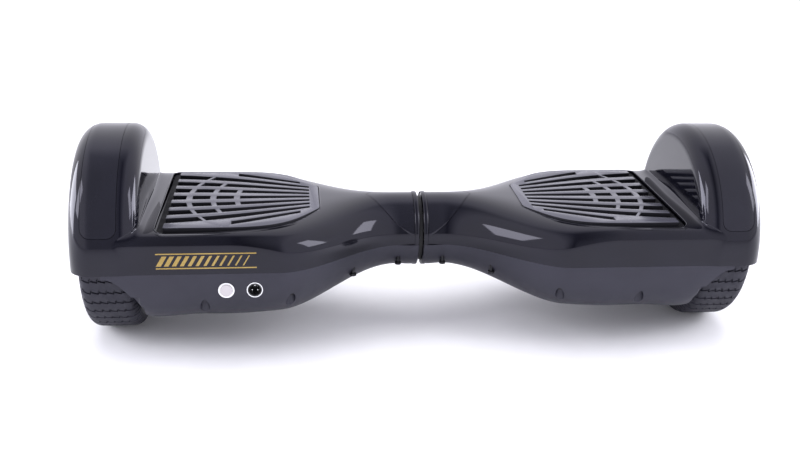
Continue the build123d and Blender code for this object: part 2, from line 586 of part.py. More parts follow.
def cover_screw_holes(radius):
    holes = Part()
    for y, z in cover_screw_sites():
        for x in cover_screw_ends():
            holes += x_cylinder(radius, x, z, y)
    return holes


def cover_screw_seats():
    seats = Part()
    for y, z in cover_screw_sites():
        seats += x_cylinder(3.1, (COVER_IN_X[0] - 1, COVER_IN_X[0] + 1.5), z, y)
        seats += x_cylinder(3.1, (COVER_OUT_X[1] - 1.5, COVER_OUT_X[1] + 1), z, y)
    return seats


def cover_screws():
    screws = cover_screw_holes(COVER_SCREW_RADIUS)
    for y, z in cover_screw_sites():
        screws += x_cylinder(2.8, (COVER_IN_X[0] + 0.2, COVER_IN_X[0] + 1.5), z, y)
        screws += x_cylinder(2.8, (COVER_OUT_X[1] - 1.5, COVER_OUT_X[1] - 0.2), z, y)
    return screws


def magnets():
    """Ring of magnet blocks bonded inside the rotor."""
    x = (TYRE_X - STATOR_WIDTH / 2 - 1, TYRE_X + STATOR_WIDTH / 2 + 1)
    ring = x_ring(ROTOR_INNER_RADIUS, ROTOR_INNER_RADIUS - MAGNET_THICKNESS, x, 0)
    half = pi * ROTOR_INNER_RADIUS / MAGNET_COUNT - 0.5
    piece = (ring & block(x, (-half, half), (0, ROTOR_INNER_RADIUS + 5))).solid()
    turns = [Rot(360 * i / MAGNET_COUNT, 0, 0) for i in range(MAGNET_COUNT)]
    return Compound(children=[(Pos(0, 0, AXLE_Z) * turn * piece).solid() for turn in turns])


def motor_cover(x, bearing_x, closed):
    """Side cover with the bearing seat; the outer one is closed over the axle's end."""
    cover = x_cylinder(RIM_RADIUS, x)
    seat = (min(x[0], bearing_x[0]), max(x[1], bearing_x[1]))
    cover += x_cylinder(BEARING_OUTER_RADIUS + BEARING_WALL, seat)
    cover -= x_cylinder(BEARING_OUTER_RADIUS, bearing_x)
    if not closed:
        cover -= x_cylinder(AXLE_RADIUS + 1.5, (x[0] - 1, bearing_x[1] + 1))
    return cover - cover_screw_holes(COVER_SCREW_RADIUS) - cover_screw_seats()


def outer_cover():
    cover = motor_cover(COVER_OUT_X, BEARING_OUT_X, True)
    hub = x_ring(RIM_RADIUS - 14, BEARING_OUTER_RADIUS + 6, (COVER_OUT_X[1] - 1.2, COVER_OUT_X[1] + 1))
    return cover - hub


def wheel_bearings():
    bearings = Part()
    for x in (BEARING_IN_X, BEARING_OUT_X):
        bearings += x_ring(BEARING_OUTER_RADIUS, AXLE_RADIUS + RUNNING_GAP, x)
    return bearings


def tyre():
    """Solid rubber tyre with rounded shoulders."""
    half = TYRE_WIDTH / 2
    ring = x_ring(WHEEL_RADIUS, RIM_RADIUS, (TYRE_X - half, TYRE_X + half))
    rims = [e for e in ring.edges().filter_by(GeomType.CIRCLE) if e.radius > WHEEL_RADIUS - 1]
    return fillet(rims, TYRE_SHOULDER)


# ================================================================ electronics
def gyro_board():
    """Sensor board under the pad, with a switch block under each pusher."""
    board = block(GYRO_X, (-GYRO_HALF_DEPTH, GYRO_HALF_DEPTH), (GYRO_Z, GYRO_Z + BOARD_THICKNESS))
    for x, y in both_sides(PUSHER_SITES):
        board += block((x - 6, x + 6), (y - 5, y + 5), (GYRO_Z + BOARD_THICKNESS - 0.1, SWITCH_TOP_Z))
    board += block((150, 162), (-6, 6), (GYRO_Z + BOARD_THICKNESS - 0.1, GYRO_Z + 4))
    return board


def battery_pack():
    pack = block(BATTERY_X, (-BATTERY_HALF_DEPTH, BATTERY_HALF_DEPTH), BATTERY_Z)
    return fillet(pack.edges().filter_by(Axis.X), 8)


def main_board():
    """Motor controller hung under the frame, built for the right side and mirrored."""
    y = (-MAIN_BOARD_HALF_DEPTH, MAIN_BOARD_HALF_DEPTH)
    board = block(MAIN_BOARD_X, y, (MAIN_BOARD_Z, MAIN_BOARD_Z + BOARD_THICKNESS))
    top = MAIN_BOARD_Z + BOARD_THICKNESS
    for i in range(4):
        board += z_cylinder(6, MAIN_BOARD_X[0] + 12 + 15 * i, 24, (top - 0.1, top + 14))
    sink = block((MAIN_BOARD_X[0] + 6, MAIN_BOARD_X[1] - 6), (-34, -14), (top - 0.1, top + 4))
    for i in range(5):
        fin = -33.0 + 4.5 * i
        sink += block((MAIN_BOARD_X[0] + 6, MAIN_BOARD_X[1] - 6), (fin, fin + 1.5), (top + 3, top + 12))
    board += sink
    frame_underside = FRAME_TOP_Z - FRAME_PLATE
    for x in (MAIN_BOARD_X[0] + 4, MAIN_BOARD_X[1] - 4):
        for y_post in (-MAIN_BOARD_HALF_DEPTH + 1, MAIN_BOARD_HALF_DEPTH - 4):
            board += z_cylinder(2.5, x, y_post + 1.5, (top - 0.1, frame_underside))
    return board


def harness():
    """Battery and motor leads through the pivot tube, on its axis."""
    return x_cylinder(HARNESS_RADIUS, (-HUB_END_X - 4, HUB_END_X + 1), PIVOT_Z)


def right_motor_lead():
    return x_cylinder(LEAD_RADIUS, (HUB_END_X + 2, AXLE_START_X), AXLE_Z)


def left_motor_lead():
    """Lead from the axle's end down to the motor controller."""
    end = (-MAIN_BOARD_X[1] + 20, 0, MAIN_BOARD_Z + BOARD_THICKNESS)
    path = FilletPolyline((-AXLE_START_X, 0, AXLE_Z), (end[0], 0, AXLE_Z), end, radius=9)
    return sweep(Plane(path @ 0, z_dir=path % 0) * Circle(LEAD_RADIUS), path=path)


# ================================================================ button and socket
def cup(x, bore):
    """Flanged cup set in the front of the left lower shell."""
    piece = y_cylinder(BEZEL_RADIUS, x, (SEAT_Y - FLANGE, SEAT_Y), PANEL_PARTS_Z)
    piece += y_cylinder(BARREL_RADIUS, x, (SEAT_Y - FLANGE, SEAT_Y + BARREL_DEPTH), PANEL_PARTS_Z)
    return piece - y_cylinder(bore, x, (SEAT_Y - 5, SEAT_Y + BARREL_DEPTH - CUP_FLOOR), PANEL_PARTS_Z)


def button_bezel():
    return cup(-BUTTON_X, BUTTON_RADIUS + BUTTON_GAP)


def power_button():
    front = SEAT_Y - FLANGE - BUTTON_TRAVEL - 0.2
    back = SEAT_Y + BARREL_DEPTH - CUP_FLOOR - BUTTON_TRAVEL - 0.2
    cap = y_cylinder(BUTTON_RADIUS, -BUTTON_X, (front, back), PANEL_PARTS_Z)
    rim = [e for e in cap.edges() if e.center().Y < front + 0.5]
    return fillet(rim, 0.6)


def charge_socket():
    return cup(-SOCKET_X, BARREL_RADIUS - 0.8)


def charge_pins():
    base = SEAT_Y + BARREL_DEPTH - CUP_FLOOR
    pins = Part()
    for i in range(3):
        x = -SOCKET_X + PIN_CIRCLE * sin(2 * pi * i / 3)
        z = PANEL_PARTS_Z + PIN_CIRCLE * cos(2 * pi * i / 3)
        pins += y_cylinder(PIN_RADIUS, x, (base - PIN_LENGTH, base), z)
    return pins


# ================================================================ write every node
emit_pair("upper_shell", upper_shell())
right_lower = lower_shell()
emit("right_lower_shell", right_lower)
emit("left_lower_shell", mirror(right_lower, about=Plane.YZ) - front_openings())
emit_pair("fender_strip", strip_layer(INLAY_THICKNESS, 0))
emit_pair("neck_panel", panel_layer(INLAY_THICKNESS, 0))
emit_pair("foot_pad", foot_pad())
emit_pair("pad_plate", pad_plate())
emit_pair("shell_screws", shell_screws())
emit("right_frame", frame(TUBE_RADIUS + BUSH_WALL) - stop_slot())
emit("left_frame", mirror(frame(TUBE_RADIUS), about=Plane.YZ))
emit_pair("axle_clamp", axle_clamp())
emit_pair("clamp_screws", clamp_screws())
emit_pair("axle", axle())
emit_pair("stator_core", stator_core())
emit_pair("stator_windings", stator_windings())
emit_pair("rotor_ring", rotor_ring())
emit_pair("rotor_magnets", magnets())
emit_pair("inner_motor_cover", motor_cover(COVER_IN_X, BEARING_IN_X, False))
emit_pair("outer_motor_cover", outer_cover())
emit_pair("cover_screws", cover_screws())
emit_pair("wheel_bearings", wheel_bearings())
emit_pair("tyre", tyre())
emit_pair("gyro_board", gyro_board())
emit("pivot_tube", pivot_tube())
emit("pivot_bushes", pivot_bushes())
emit("pivot_retaining_ring", retaining_ring())
emit("pivot_stop_screw", stop_screw())
emit("neck_seal", neck_seal())
emit("centre_harness", harness())
emit("right_motor_lead", right_motor_lead())
emit("left_motor_lead", left_motor_lead())
emit("right_battery_pack", battery_pack())
emit("left_main_board", mirror(main_board(), about=Plane.YZ))
emit("left_power_button", power_button())
emit("left_button_bezel", button_bezel())
emit("left_charge_socket", charge_socket())
emit("left_charge_pins", charge_pins())
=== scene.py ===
"""Looks of a self balancing two-wheel board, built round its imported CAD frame.

Shapes are worked out in millimetres, in the frame's own axes (X along the board, -Y the front,
Z up), and turned into metres where each mesh is made. The right half is built and mirrored.
"""
from math import atan2, cos, pi, radians, sin

import bmesh
import bpy
import numpy as np
from mathutils import Matrix, Vector


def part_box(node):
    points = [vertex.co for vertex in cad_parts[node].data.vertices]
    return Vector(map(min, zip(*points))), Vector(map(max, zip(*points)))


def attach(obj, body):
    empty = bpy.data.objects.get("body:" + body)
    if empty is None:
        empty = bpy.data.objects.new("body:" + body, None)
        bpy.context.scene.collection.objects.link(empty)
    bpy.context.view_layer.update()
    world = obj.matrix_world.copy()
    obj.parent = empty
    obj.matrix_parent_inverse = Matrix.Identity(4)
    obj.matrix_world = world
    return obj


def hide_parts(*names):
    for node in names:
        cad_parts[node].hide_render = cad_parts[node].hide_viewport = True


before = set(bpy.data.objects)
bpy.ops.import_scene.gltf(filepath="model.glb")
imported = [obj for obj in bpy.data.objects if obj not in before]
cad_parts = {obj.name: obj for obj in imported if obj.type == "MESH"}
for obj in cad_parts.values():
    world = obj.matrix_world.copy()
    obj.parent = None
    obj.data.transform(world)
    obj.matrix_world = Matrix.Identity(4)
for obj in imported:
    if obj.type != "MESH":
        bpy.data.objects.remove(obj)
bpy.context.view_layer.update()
MM = 0.001

# ---------------------------------------------------------------- sizes shared with the CAD
FENDER_RADIUS, AXLE_Z = 93.0, 85.0
FENDER_INNER_X, FENDER_OUTER_X = 236.0, 292.0
FENDER_INNER_ROUND, FENDER_OUTER_ROUND = 14.0, 18.0
DECK_HALF_DEPTH, DECK_TOP_Z, BELLY_Z = 91.5, 112.5, 26.0
SECTION_CENTRE_Z, SEAM_Z = 80.0, 78.0
NECK_RADIUS, PIVOT_Z, SHELL_START_X = 32.5, 83.0, 2.0
LIP_WIDTH, LIP_HEIGHT = 4.0, 1.0
FLARE_START_X, FLARE_END_X = 20.0, 124.0
SQUARE_START_X, SQUARE_END_X = 25.0, 165.0
DECK_SQUARENESS, BELLY_SQUARENESS = 9.0, 3.5
WALL, AXLE_NOTCH = 3.0, 9.0
INLAY_THICKNESS, INLAY_GAP, INLAY_BED = 1.2, 0.35, 0.15
STRIP_X, STRIP_BOTTOM_Z, STRIP_CORNER = (252.0, 280.0), 109.0, 8.0
STRIP_TOP_Z = 250.0         # well above the crown, which the strip runs over
PANEL_LENGTH, PANEL_BOTTOM_Z = 47.0, 87.5
PAD_OUTER_X, PAD_INNER_X = 224.0, 89.0
PAD_OUTER_HALF, PAD_INNER_HALF, PAD_CORNER = 84.0, 34.0, 10.0
PAD_RECESS_Z, PAD_FLOOR, PAD_SIDE_GAP = 106.5, 3.0, 0.8
TRAY_TOP_Z = 110.5
TYRE_X, TYRE_WIDTH, RIM_RADIUS, WHEEL_RADIUS = 264.0, 45.0, 67.0, 85.0

BASE_FILLET = 8.0           # between the deck and the fender's inner face
SKIN_ROWS = 220             # points across the board from seam to seam
SKIN_END_X = 253.0          # the board's own section is worked out up to here
LIP_SHARES = (0, .03, .1, .2, .35, .5, .65, .8, .9, .97, 1.0, 1.1)     # of the collar's width
DECK_COLUMNS, BEND_COLUMNS = 110, 10
SHOULDER_COLUMNS, CROWN_COLUMNS, OUTER_COLUMNS = 44, 10, 22
SEAM_EASE_ROWS = 12         # rows over which the fender's edge is brought onto the seam
FENDER_FIRST_COLUMN = 140   # skin columns that hold the fender strip
NECK_COLUMNS = (8, 45)      # skin columns that hold the neck panel
ABOVE_ALL_Z, ACROSS_ALL = 150.0, 200.0      # reach of a cutter that has to pass right through


# ================================================================ mesh helpers
def make_mesh(name, points, faces, smooth=40.0):
    """Mesh object from points in millimetres, smooth except across edges over this many degrees."""
    mesh = bpy.data.meshes.new(name)
    metres = (np.asarray(points, float) * MM).tolist()
    mesh.from_pydata(metres, [], [list(map(int, f)) for f in faces])
    mesh.validate()
    obj = bpy.data.objects.new(name, mesh)
    bpy.context.scene.collection.objects.link(obj)
    fix_normals(obj)
    shade(obj, smooth)
    return obj


def fix_normals(obj):
    work = bmesh.new()
    work.from_mesh(obj.data)
    bmesh.ops.remove_doubles(work, verts=work.verts, dist=1e-7)
    bmesh.ops.recalc_face_normals(work, faces=work.faces)
    work.to_mesh(obj.data)
    work.free()


def shade(obj, degrees):
    obj.data.shade_smooth()
    obj.data.set_sharp_from_angle(angle=radians(degrees))


def apply_modifiers(obj):
    graph = bpy.context.evaluated_depsgraph_get()
    mesh = bpy.data.meshes.new_from_object(obj.evaluated_get(graph))
    obj.modifiers.clear()
    old = obj.data
    obj.data = mesh
    bpy.data.meshes.remove(old)


def modify(obj, kind, **settings):
    """Add one modifier, set it and apply it."""
    modifier = obj.modifiers.new(kind.lower(), kind)
    for key, value in settings.items():
        setattr(modifier, key, value)
    apply_modifiers(obj)


def combine(obj, other, operation):
    """Exact boolean of obj with another closed mesh, which is then removed."""
    bpy.context.view_layer.update()
    modify(obj, "BOOLEAN", object=other, operation=operation, solver="EXACT")
    discard(other)


def discard(obj):
    mesh = obj.data
    bpy.data.objects.remove(obj)
    bpy.data.meshes.remove(mesh)


def join(target, others):
    """Add the other objects' meshes to the target's own."""
    work = bmesh.new()
    work.from_mesh(target.data)
    for other in others:
        work.from_mesh(other.data)
        discard(other)
    work.to_mesh(target.data)
    work.free()


def mirrored(obj, name):
    """Copy of a right-hand piece reflected to the left half."""
    copy = obj.copy()
    copy.data = obj.data.copy()
    copy.name = name
    bpy.context.scene.collection.objects.link(copy)
    copy.data.transform(Matrix.Scale(-1, 4, (1, 0, 0)))
    copy.data.flip_normals()
    return copy


def place(obj, body, material, slot, *nodes):
    """Give a finished piece its material and body and hide the CAD nodes it stands for; its finish
    slot is not used.
    """
    obj.data.materials.clear()
    obj.data.materials.append(material)
    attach(obj, body)
    if nodes:
        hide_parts(*nodes)


def place_pair(obj, name, body, material, slot, *nodes):
    """Place a right-hand piece and its mirror image; body and nodes leave out the side's name."""
    other = mirrored(obj, f"left_{name}")
    obj.name = f"right_{name}"
    for side, piece in (("right", obj), ("left", other)):
        place(piece, f"{side}_{body}", material, slot, *[f"{side}_{node}" for node in nodes])


def grid_faces(rows, columns, closed_rows=False, closed_columns=False):
    faces = []
    for r in range(rows if closed_rows else rows - 1):
        for c in range(columns if closed_columns else columns - 1):
            r2, c2 = (r + 1) % rows, (c + 1) % columns
            faces.append((r * columns + c, r2 * columns + c, r2 * columns + c2, r * columns + c2))
    return faces


def grid_mesh(name, grid, closed_rows=False, closed_columns=False, smooth=40.0):
    faces = grid_faces(*grid.shape[:2], closed_rows, closed_columns)
    return make_mesh(name, grid.reshape(-1, 3), faces, smooth)


def prism(name, outline, low, high, axis="z"):
    """Closed prism of an outline, along Z, Y or X, from points in the plane across that axis."""
    count = len(outline)
    if axis == "z":
        points = [(x, y, level) for level in (low, high) for x, y in outline]
    elif axis == "y":
        points = [(x, level, z) for level in (low, high) for x, z in outline]
    else:
        points = [(level, y, z) for level in (low, high) for y, z in outline]
    faces = [tuple(range(count)), tuple(range(2 * count - 1, count - 1, -1))]
    faces += [(i, (i + 1) % count, count + (i + 1) % count, count + i) for i in range(count)]
    return make_mesh(name, points, faces, 30.0)


def turned(name, profile, steps):
    """Closed solid turned about the X axis, from a closed loop of (x, radius)."""
    turns = np.linspace(0, 2 * pi, steps, endpoint=False)
    loop = np.asarray(profile, float)
    grid = np.empty((steps, len(loop), 3))
    grid[:, :, 0] = loop[None, :, 0]
    grid[:, :, 1] = loop[None, :, 1] * np.cos(turns)[:, None]
    grid[:, :, 2] = loop[None, :, 1] * np.sin(turns)[:, None]
    return grid_mesh(name, grid, closed_rows=True, closed_columns=True, smooth=35.0)


def along(points, count):
    """Resample a polyline to count points, evenly spaced."""
    points = np.asarray(points, float)
    steps = np.r_[0, np.cumsum(np.linalg.norm(np.diff(points, axis=0), axis=1))]
    where = np.linspace(0, steps[-1], count)
    return np.stack([np.interp(where, steps, points[:, k]) for k in range(points.shape[1])], 1)


# ================================================================ form of the shells
def ease(x, start, end):
    """Smooth rise from 0 at start to 1 at end."""
    t = np.clip((x - start) / (end - start), 0, 1)
    return t * t * (3 - 2 * t)


def section_loop(x, count, inset=0.0):
    """Points (y, z) of the board's section at x above the seam, from the rear to the front."""
    flare, square = ease(x, FLARE_START_X, FLARE_END_X), ease(x, SQUARE_START_X, SQUARE_END_X)
    half = NECK_RADIUS + (DECK_HALF_DEPTH - NECK_RADIUS) * flare - inset
    centre = PIVOT_Z + (SECTION_CENTRE_Z - PIVOT_Z) * flare
    top = PIVOT_Z + NECK_RADIUS + (DECK_TOP_Z - PIVOT_Z - NECK_RADIUS) * flare - inset
    bottom = PIVOT_Z - NECK_RADIUS + (BELLY_Z - PIVOT_Z + NECK_RADIUS) * flare + inset
    angle = np.linspace(-pi / 2, 3 * pi / 2, 2401)
    angle = angle + np.sin(4 * angle) / 8
    across, up = np.cos(angle), np.sin(angle)
    top_power = 1 / (0.5 + (1 / DECK_SQUARENESS - 0.5) * square)
    belly_power = 1 / (0.5 + (1 / BELLY_SQUARENESS - 0.5) * square)
    power = np.where(up >= 0, top_power, belly_power)
    reach = (np.abs(across) ** power + np.abs(up) ** power) ** (-1 / power)
    y = half * across * reach
    z = centre + np.where(up >= 0, top - centre, centre - bottom) * up * reach
    rear = y > 0
    seam_y = np.interp(SEAM_Z, z[rear & (angle < pi / 2)], y[rear & (angle < pi / 2)])
    keep = z > SEAM_Z
    loop = np.stack([y[keep], z[keep]], 1)
    return along(np.vstack([(seam_y, SEAM_Z), loop, (-seam_y, SEAM_Z)]), count)


def fender_profile():
    """Dense (x, radius) outline of the fender from deep on its inner face to its outer lip.

    The places in it where the inner shoulder and the crown end are given too.
    """
    quarter = np.linspace(0, pi / 2, 40)
    inner = [(FENDER_INNER_X, r) for r in np.linspace(20, FENDER_RADIUS - FENDER_INNER_ROUND, 60)]
    shoulder = [(FENDER_INNER_X + FENDER_INNER_ROUND * (1 - cos(a)),
                 FENDER_RADIUS - FENDER_INNER_ROUND * (1 - sin(a))) for a in quarter[1:]]
    crown_x = np.linspace(shoulder[-1][0], FENDER_OUTER_X - FENDER_OUTER_ROUND, 20)[1:]
    crown = [(x, FENDER_RADIUS) for x in crown_x]
    outer = [(FENDER_OUTER_X - FENDER_OUTER_ROUND * (1 - sin(a)),
              FENDER_RADIUS - FENDER_OUTER_ROUND * (1 - cos(a))) for a in quarter[1:]]
    shoulder_end = len(inner) + len(shoulder) - 1
    return np.array(inner + shoulder + crown + outer), shoulder_end, shoulder_end + len(crown)


def lip_height(x):
    """Height of the rounded collar at the neck end."""
    t = np.clip((x - SHELL_START_X) / LIP_WIDTH, 0, 1)
    return LIP_HEIGHT * np.clip(np.sin(pi * t), 0, 1) ** 0.35


def upper_skin():
    """Outer skin of the right upper shell as one grid.

    Its rows go from the rear seam to the front one, and its columns from the neck to the wheel.
    """
    stations = np.arange(SHELL_START_X, SKIN_END_X, 1.0)
    loops = np.stack([section_loop(x, SKIN_ROWS) for x in stations])      # station, row, (y, z)
    outline, shoulder_end, crown_end = fender_profile()
    lengths = np.r_[0, np.cumsum(np.linalg.norm(np.diff(outline, axis=0), axis=1))]
    lip_columns = SHELL_START_X + LIP_WIDTH * np.array(LIP_SHARES)
    rows = []
    for j in range(SKIN_ROWS):
        def deck(x):
            return np.stack([np.interp(x, stations, loops[:, j, k]) for k in (0, 1)], -1)
        at_fender = deck(FENDER_INNER_X)
        radius = np.hypot(at_fender[0], at_fender[1] - AXLE_Z)
        angle = atan2(at_fender[1] - AXLE_Z, at_fender[0])
        start = np.interp(radius, outline[:crown_end, 1], lengths[:crown_end])
        meet_x = np.interp(start, lengths, outline[:, 0])
        deck_x = np.r_[lip_columns,
                       np.linspace(lip_columns[-1], meet_x - BASE_FILLET, DECK_COLUMNS)[1:]]
        deck_yz = deck(deck_x)
        outward = deck_yz - np.array([0, PIVOT_Z])
        outward /= np.linalg.norm(outward, axis=1)[:, None]
        deck_yz = deck_yz + outward * lip_height(deck_x)[:, None]
        row = [np.c_[deck_x, deck_yz]]
        after = start + BASE_FILLET
        corner = np.array([meet_x, radius])
        first = np.array([meet_x - BASE_FILLET, radius])
        last = np.array([np.interp(after, lengths, outline[:, k]) for k in (0, 1)])
        t = np.linspace(0, 1, BEND_COLUMNS)[1:, None]
        bend = first * (1 - t) ** 2 + corner * 2 * t * (1 - t) + last * t ** 2
        shoulder_stop = max(lengths[shoulder_end], after + 1)
        where = np.r_[np.linspace(after, shoulder_stop, SHOULDER_COLUMNS)[1:],
                      np.linspace(shoulder_stop, lengths[crown_end], CROWN_COLUMNS)[1:],
                      np.linspace(lengths[crown_end], lengths[-1], OUTER_COLUMNS)[1:]]
        flange = np.stack([np.interp(where, lengths, outline[:, k]) for k in (0, 1)], 1)
        fender = np.vstack([bend, flange])
        seam_angle = -np.arcsin((AXLE_Z - SEAM_Z) / fender[:, 1])
        own = -np.arcsin((AXLE_Z - SEAM_Z) / radius)
        edge = max(0.0, 1 - j / SEAM_EASE_ROWS, 1 - (SKIN_ROWS - 1 - j) / SEAM_EASE_ROWS)
        shift = (seam_angle - own) * edge
        turn = angle + (shift if j < SKIN_ROWS / 2 else -shift)
        row.append(np.c_[fender[:, 0], fender[:, 1] * np.cos(turn),
                         AXLE_Z + fender[:, 1] * np.sin(turn)])
        rows.append(np.vstack(row))
    return np.stack(rows)


def pad_outline(grow, count=40):
    """Foot pad outline as (x, y) points, from the CAD's bowed form, grown by grow."""
    corner_x, corner_y = PAD_OUTER_X - PAD_CORNER, PAD_OUTER_HALF - PAD_CORNER
    knots = [(PAD_INNER_X, PAD_INNER_HALF - 6), (PAD_INNER_X + 3.5, PAD_INNER_HALF + 2),
             (118, 66), (168, 81.5), (corner_x, PAD_OUTER_HALF)]
    bow = hermite(knots, (0, 1), (1, 0), count)
    ahead = np.gradient(bow, axis=0)
    ahead /= np.linalg.norm(ahead, axis=1)[:, None]
    side = bow + grow * np.c_[-ahead[:, 1], ahead[:, 0]]
    turn = np.linspace(pi / 2, 0, 9)[1:]
    radius = PAD_CORNER + grow
    round_end = np.c_[corner_x + radius * np.cos(turn), corner_y + radius * np.sin(turn)]
    half = np.vstack([side, round_end])
    return np.vstack([half, half[::-1] * (1, -1)])


def hermite(knots, start, end, count):
    """Smooth curve through knots with the given end directions (chord-length cubic spline)."""
    knots = np.asarray(knots, float)
    chord = np.r_[0, np.cumsum(np.linalg.norm(np.diff(knots, axis=0), axis=1))]
    gaps = np.diff(chord)
    total = len(knots)
    matrix, right = np.zeros((total, total)), np.zeros((total, 2))
    matrix[0, 0] = matrix[-1, -1] = 1
    right[0], right[-1] = start, end
    for i in range(1, total - 1):
        before, after = gaps[i - 1], gaps[i]
        matrix[i, i - 1:i + 2] = (after, 2 * (before + after), before)
        right[i] = 3 * (after * (knots[i] - knots[i - 1]) / before
                        + before * (knots[i + 1] - knots[i]) / after)
    slopes = np.linalg.solve(matrix, right)
    where = np.linspace(0, chord[-1], count)
    piece = np.clip(np.searchsorted(chord, where, side="right") - 1, 0, total - 2)
    t = ((where - chord[piece]) / gaps[piece])[:, None]
    a, b, gap = knots[piece], knots[piece + 1], gaps[piece][:, None]
    return ((2 * t ** 3 - 3 * t ** 2 + 1) * a + (t ** 3 - 2 * t ** 2 + t) * gap * slopes[piece]
            + (3 * t ** 2 - 2 * t ** 3) * b + (t ** 3 - t ** 2) * gap * slopes[piece + 1])


def panel_outline(grow):
    """Leaf-shaped neck panel as (x, y) points."""
    knots = np.array([(PANEL_LENGTH + 1.4 * grow, 0),
                      (0.81 * PANEL_LENGTH + grow, 0.49 * NECK_RADIUS + grow),
                      (0.53 * PANEL_LENGTH + grow, 0.855 * NECK_RADIUS + grow),
                      (0.26 * PANEL_LENGTH, 0.972 * NECK_RADIUS + grow),
                      (SHELL_START_X - 2, NECK_RADIUS + 0.1 + grow)])
    edge = hermite(knots, (-0.5, 0.8), (-1, 0.02), 30)
    neck_end = SHELL_START_X + LIP_WIDTH + INLAY_GAP - grow
    edge = edge[edge[:, 0] > neck_end]
    edge = np.vstack([edge, (neck_end, edge[-1, 1])])
    return np.vstack([edge, edge[:0:-1] * (1, -1)])


def strip_outline(grow):
    """Fender strip seen from the front as (x, z) points, with round lower corners."""
    low, high, bottom = STRIP_X[0] - grow, STRIP_X[1] + grow, STRIP_BOTTOM_Z - grow
    turn = np.linspace(0, pi / 2, 8)
    aside, rise = STRIP_CORNER * (1 - np.cos(turn)), bottom + STRIP_CORNER * (1 - np.sin(turn))
    left, right = np.c_[low + aside, rise], np.c_[high - aside, rise]
    return np.vstack([(low, STRIP_TOP_Z), left, right[::-1], (high, STRIP_TOP_Z)])


# ================================================================ shells
def grid_normals(grid):
    """Unit normals of a skin grid, pointing out of the board."""
    along_rows, along_columns = np.gradient(grid, axis=0), np.gradient(grid, axis=1)
    normals = np.cross(along_rows, along_columns)
    normals /= np.maximum(np.linalg.norm(normals, axis=2), 1e-9)[:, :, None]
    middle = normals[normals.shape[0] // 2, normals.shape[1] // 2]
    return normals if middle[2] > 0 else -normals


def thick_patch(name, grid, outside, inside):
    """Closed slab of a skin grid, from outside above its surface to inside below it."""
    normals = grid_normals(grid)
    rows, columns = grid.shape[:2]
    points = np.concatenate([(grid + normals * outside).reshape(-1, 3),
                             (grid - normals * inside).reshape(-1, 3)])
    top = grid_faces(rows, columns)
    base = rows * columns
    bottom = [tuple(base + i for i in face[::-1]) for face in top]
    rim = [r * columns for r in range(rows)] + [(rows - 1) * columns + c for c in range(1, columns)]
    rim += [r * columns + columns - 1 for r in range(rows - 2, -1, -1)]
    rim += list(range(columns - 2, 0, -1))
    sides = [(a, b, base + b, base + a) for a, b in zip(rim, rim[1:] + rim[:1])]
    return make_mesh(name, points, top + bottom + sides)


def end_wall():
    """Wall between the deck's inside and the wheel, above the seam and notched for the axle."""
    roof = section_loop(FENDER_INNER_X, 80, inset=1.0)
    turns = np.linspace(0, pi, 13)
    notch = [(-AXLE_NOTCH, SEAM_Z)]
    notch += [(-AXLE_NOTCH * cos(t), AXLE_Z + AXLE_NOTCH * sin(t)) for t in turns]
    notch += [(AXLE_NOTCH, SEAM_Z)]
    outline = [tuple(p) for p in roof] + notch
    return prism("end_wall", outline, FENDER_INNER_X, FENDER_INNER_X + WALL, "x")


def build_upper_shells(gloss, trim):
    """Upper shells with their pad recesses, and the inlays let into them."""
    skin = upper_skin()
    shell = thick_patch("right_upper_skin", skin, 0.0, WALL)
    # pad recess: an opening through the skin and a tray under it
    combine(shell, prism("recess", pad_outline(0), PAD_RECESS_Z - 10, ABOVE_ALL_Z), "DIFFERENCE")
    tray = prism("tray", pad_outline(WALL), PAD_RECESS_Z - PAD_FLOOR, TRAY_TOP_Z)
    combine(tray, prism("pocket", pad_outline(0), PAD_RECESS_Z, ABOVE_ALL_Z), "DIFFERENCE")
    # grooves and inlays of the fender strip and the neck panel
    fender = skin[:, FENDER_FIRST_COLUMN:]
    neck = skin[:, slice(*NECK_COLUMNS)]
    inlays = []
    for grid, outline, low, high, axis, name in (
            (fender, strip_outline, -ACROSS_ALL, ACROSS_ALL, "y", "fender_strip"),
            (neck, panel_outline, PANEL_BOTTOM_Z, ACROSS_ALL, "z", "neck_panel")):
        groove = thick_patch("groove", grid, 1.0, INLAY_THICKNESS + INLAY_BED)
        combine(groove, prism("groove_edge", outline(INLAY_GAP), low, high, axis), "INTERSECT")
        combine(shell, groove, "DIFFERENCE")
        inlay = thick_patch(name, grid, 0.0, INLAY_THICKNESS)
        combine(inlay, prism("inlay_edge", outline(0), low, high, axis), "INTERSECT")
        shade(inlay, 35)
        inlays.append((inlay, name))
    join(shell, [tray, end_wall()])
    shade(shell, 32)
    place_pair(shell, "upper_skin", "half", gloss, "shell_gloss", "upper_shell")
    for inlay, name in inlays:
        place_pair(inlay, name + "_skin", "half", trim, "trim_gloss", name)


# ================================================================ foot pads
SLOT_OUTER_X, SLOT_INNER_X = 217.0, 98.0
SLOT_PITCH_OUTER, SLOT_PITCH_INNER = 20.0, 9.2
SLOT_WIDTH_OUTER, SLOT_WIDTH_INNER = 11.2, 4.6
CROSS_RIBS = ((202.5, 9.0), (182.0, 10.5), (161.5, 12.0))      # place on the centre line, sweep
CROSS_SWEEP_Y = 45.0        # how far out that sweep is reached
CROSS_REACH = (3, 2, 1)     # how many slots each side a cross rib breaks
CROSS_WIDTH, CROSS_THINNING = 5.2, 0.9
SLOT_BOW, SLOT_END_LEAN = 0.10, 0.010
LAST_SLOT, LAST_SLOT_END_X = 4, 163.0       # the outermost slots are short
GUTTER, GUTTER_X = 5.5, (120.0, 205.0)      # widening of the gap to the recess, and where
PAD_EDGE_ROUND = 0.45


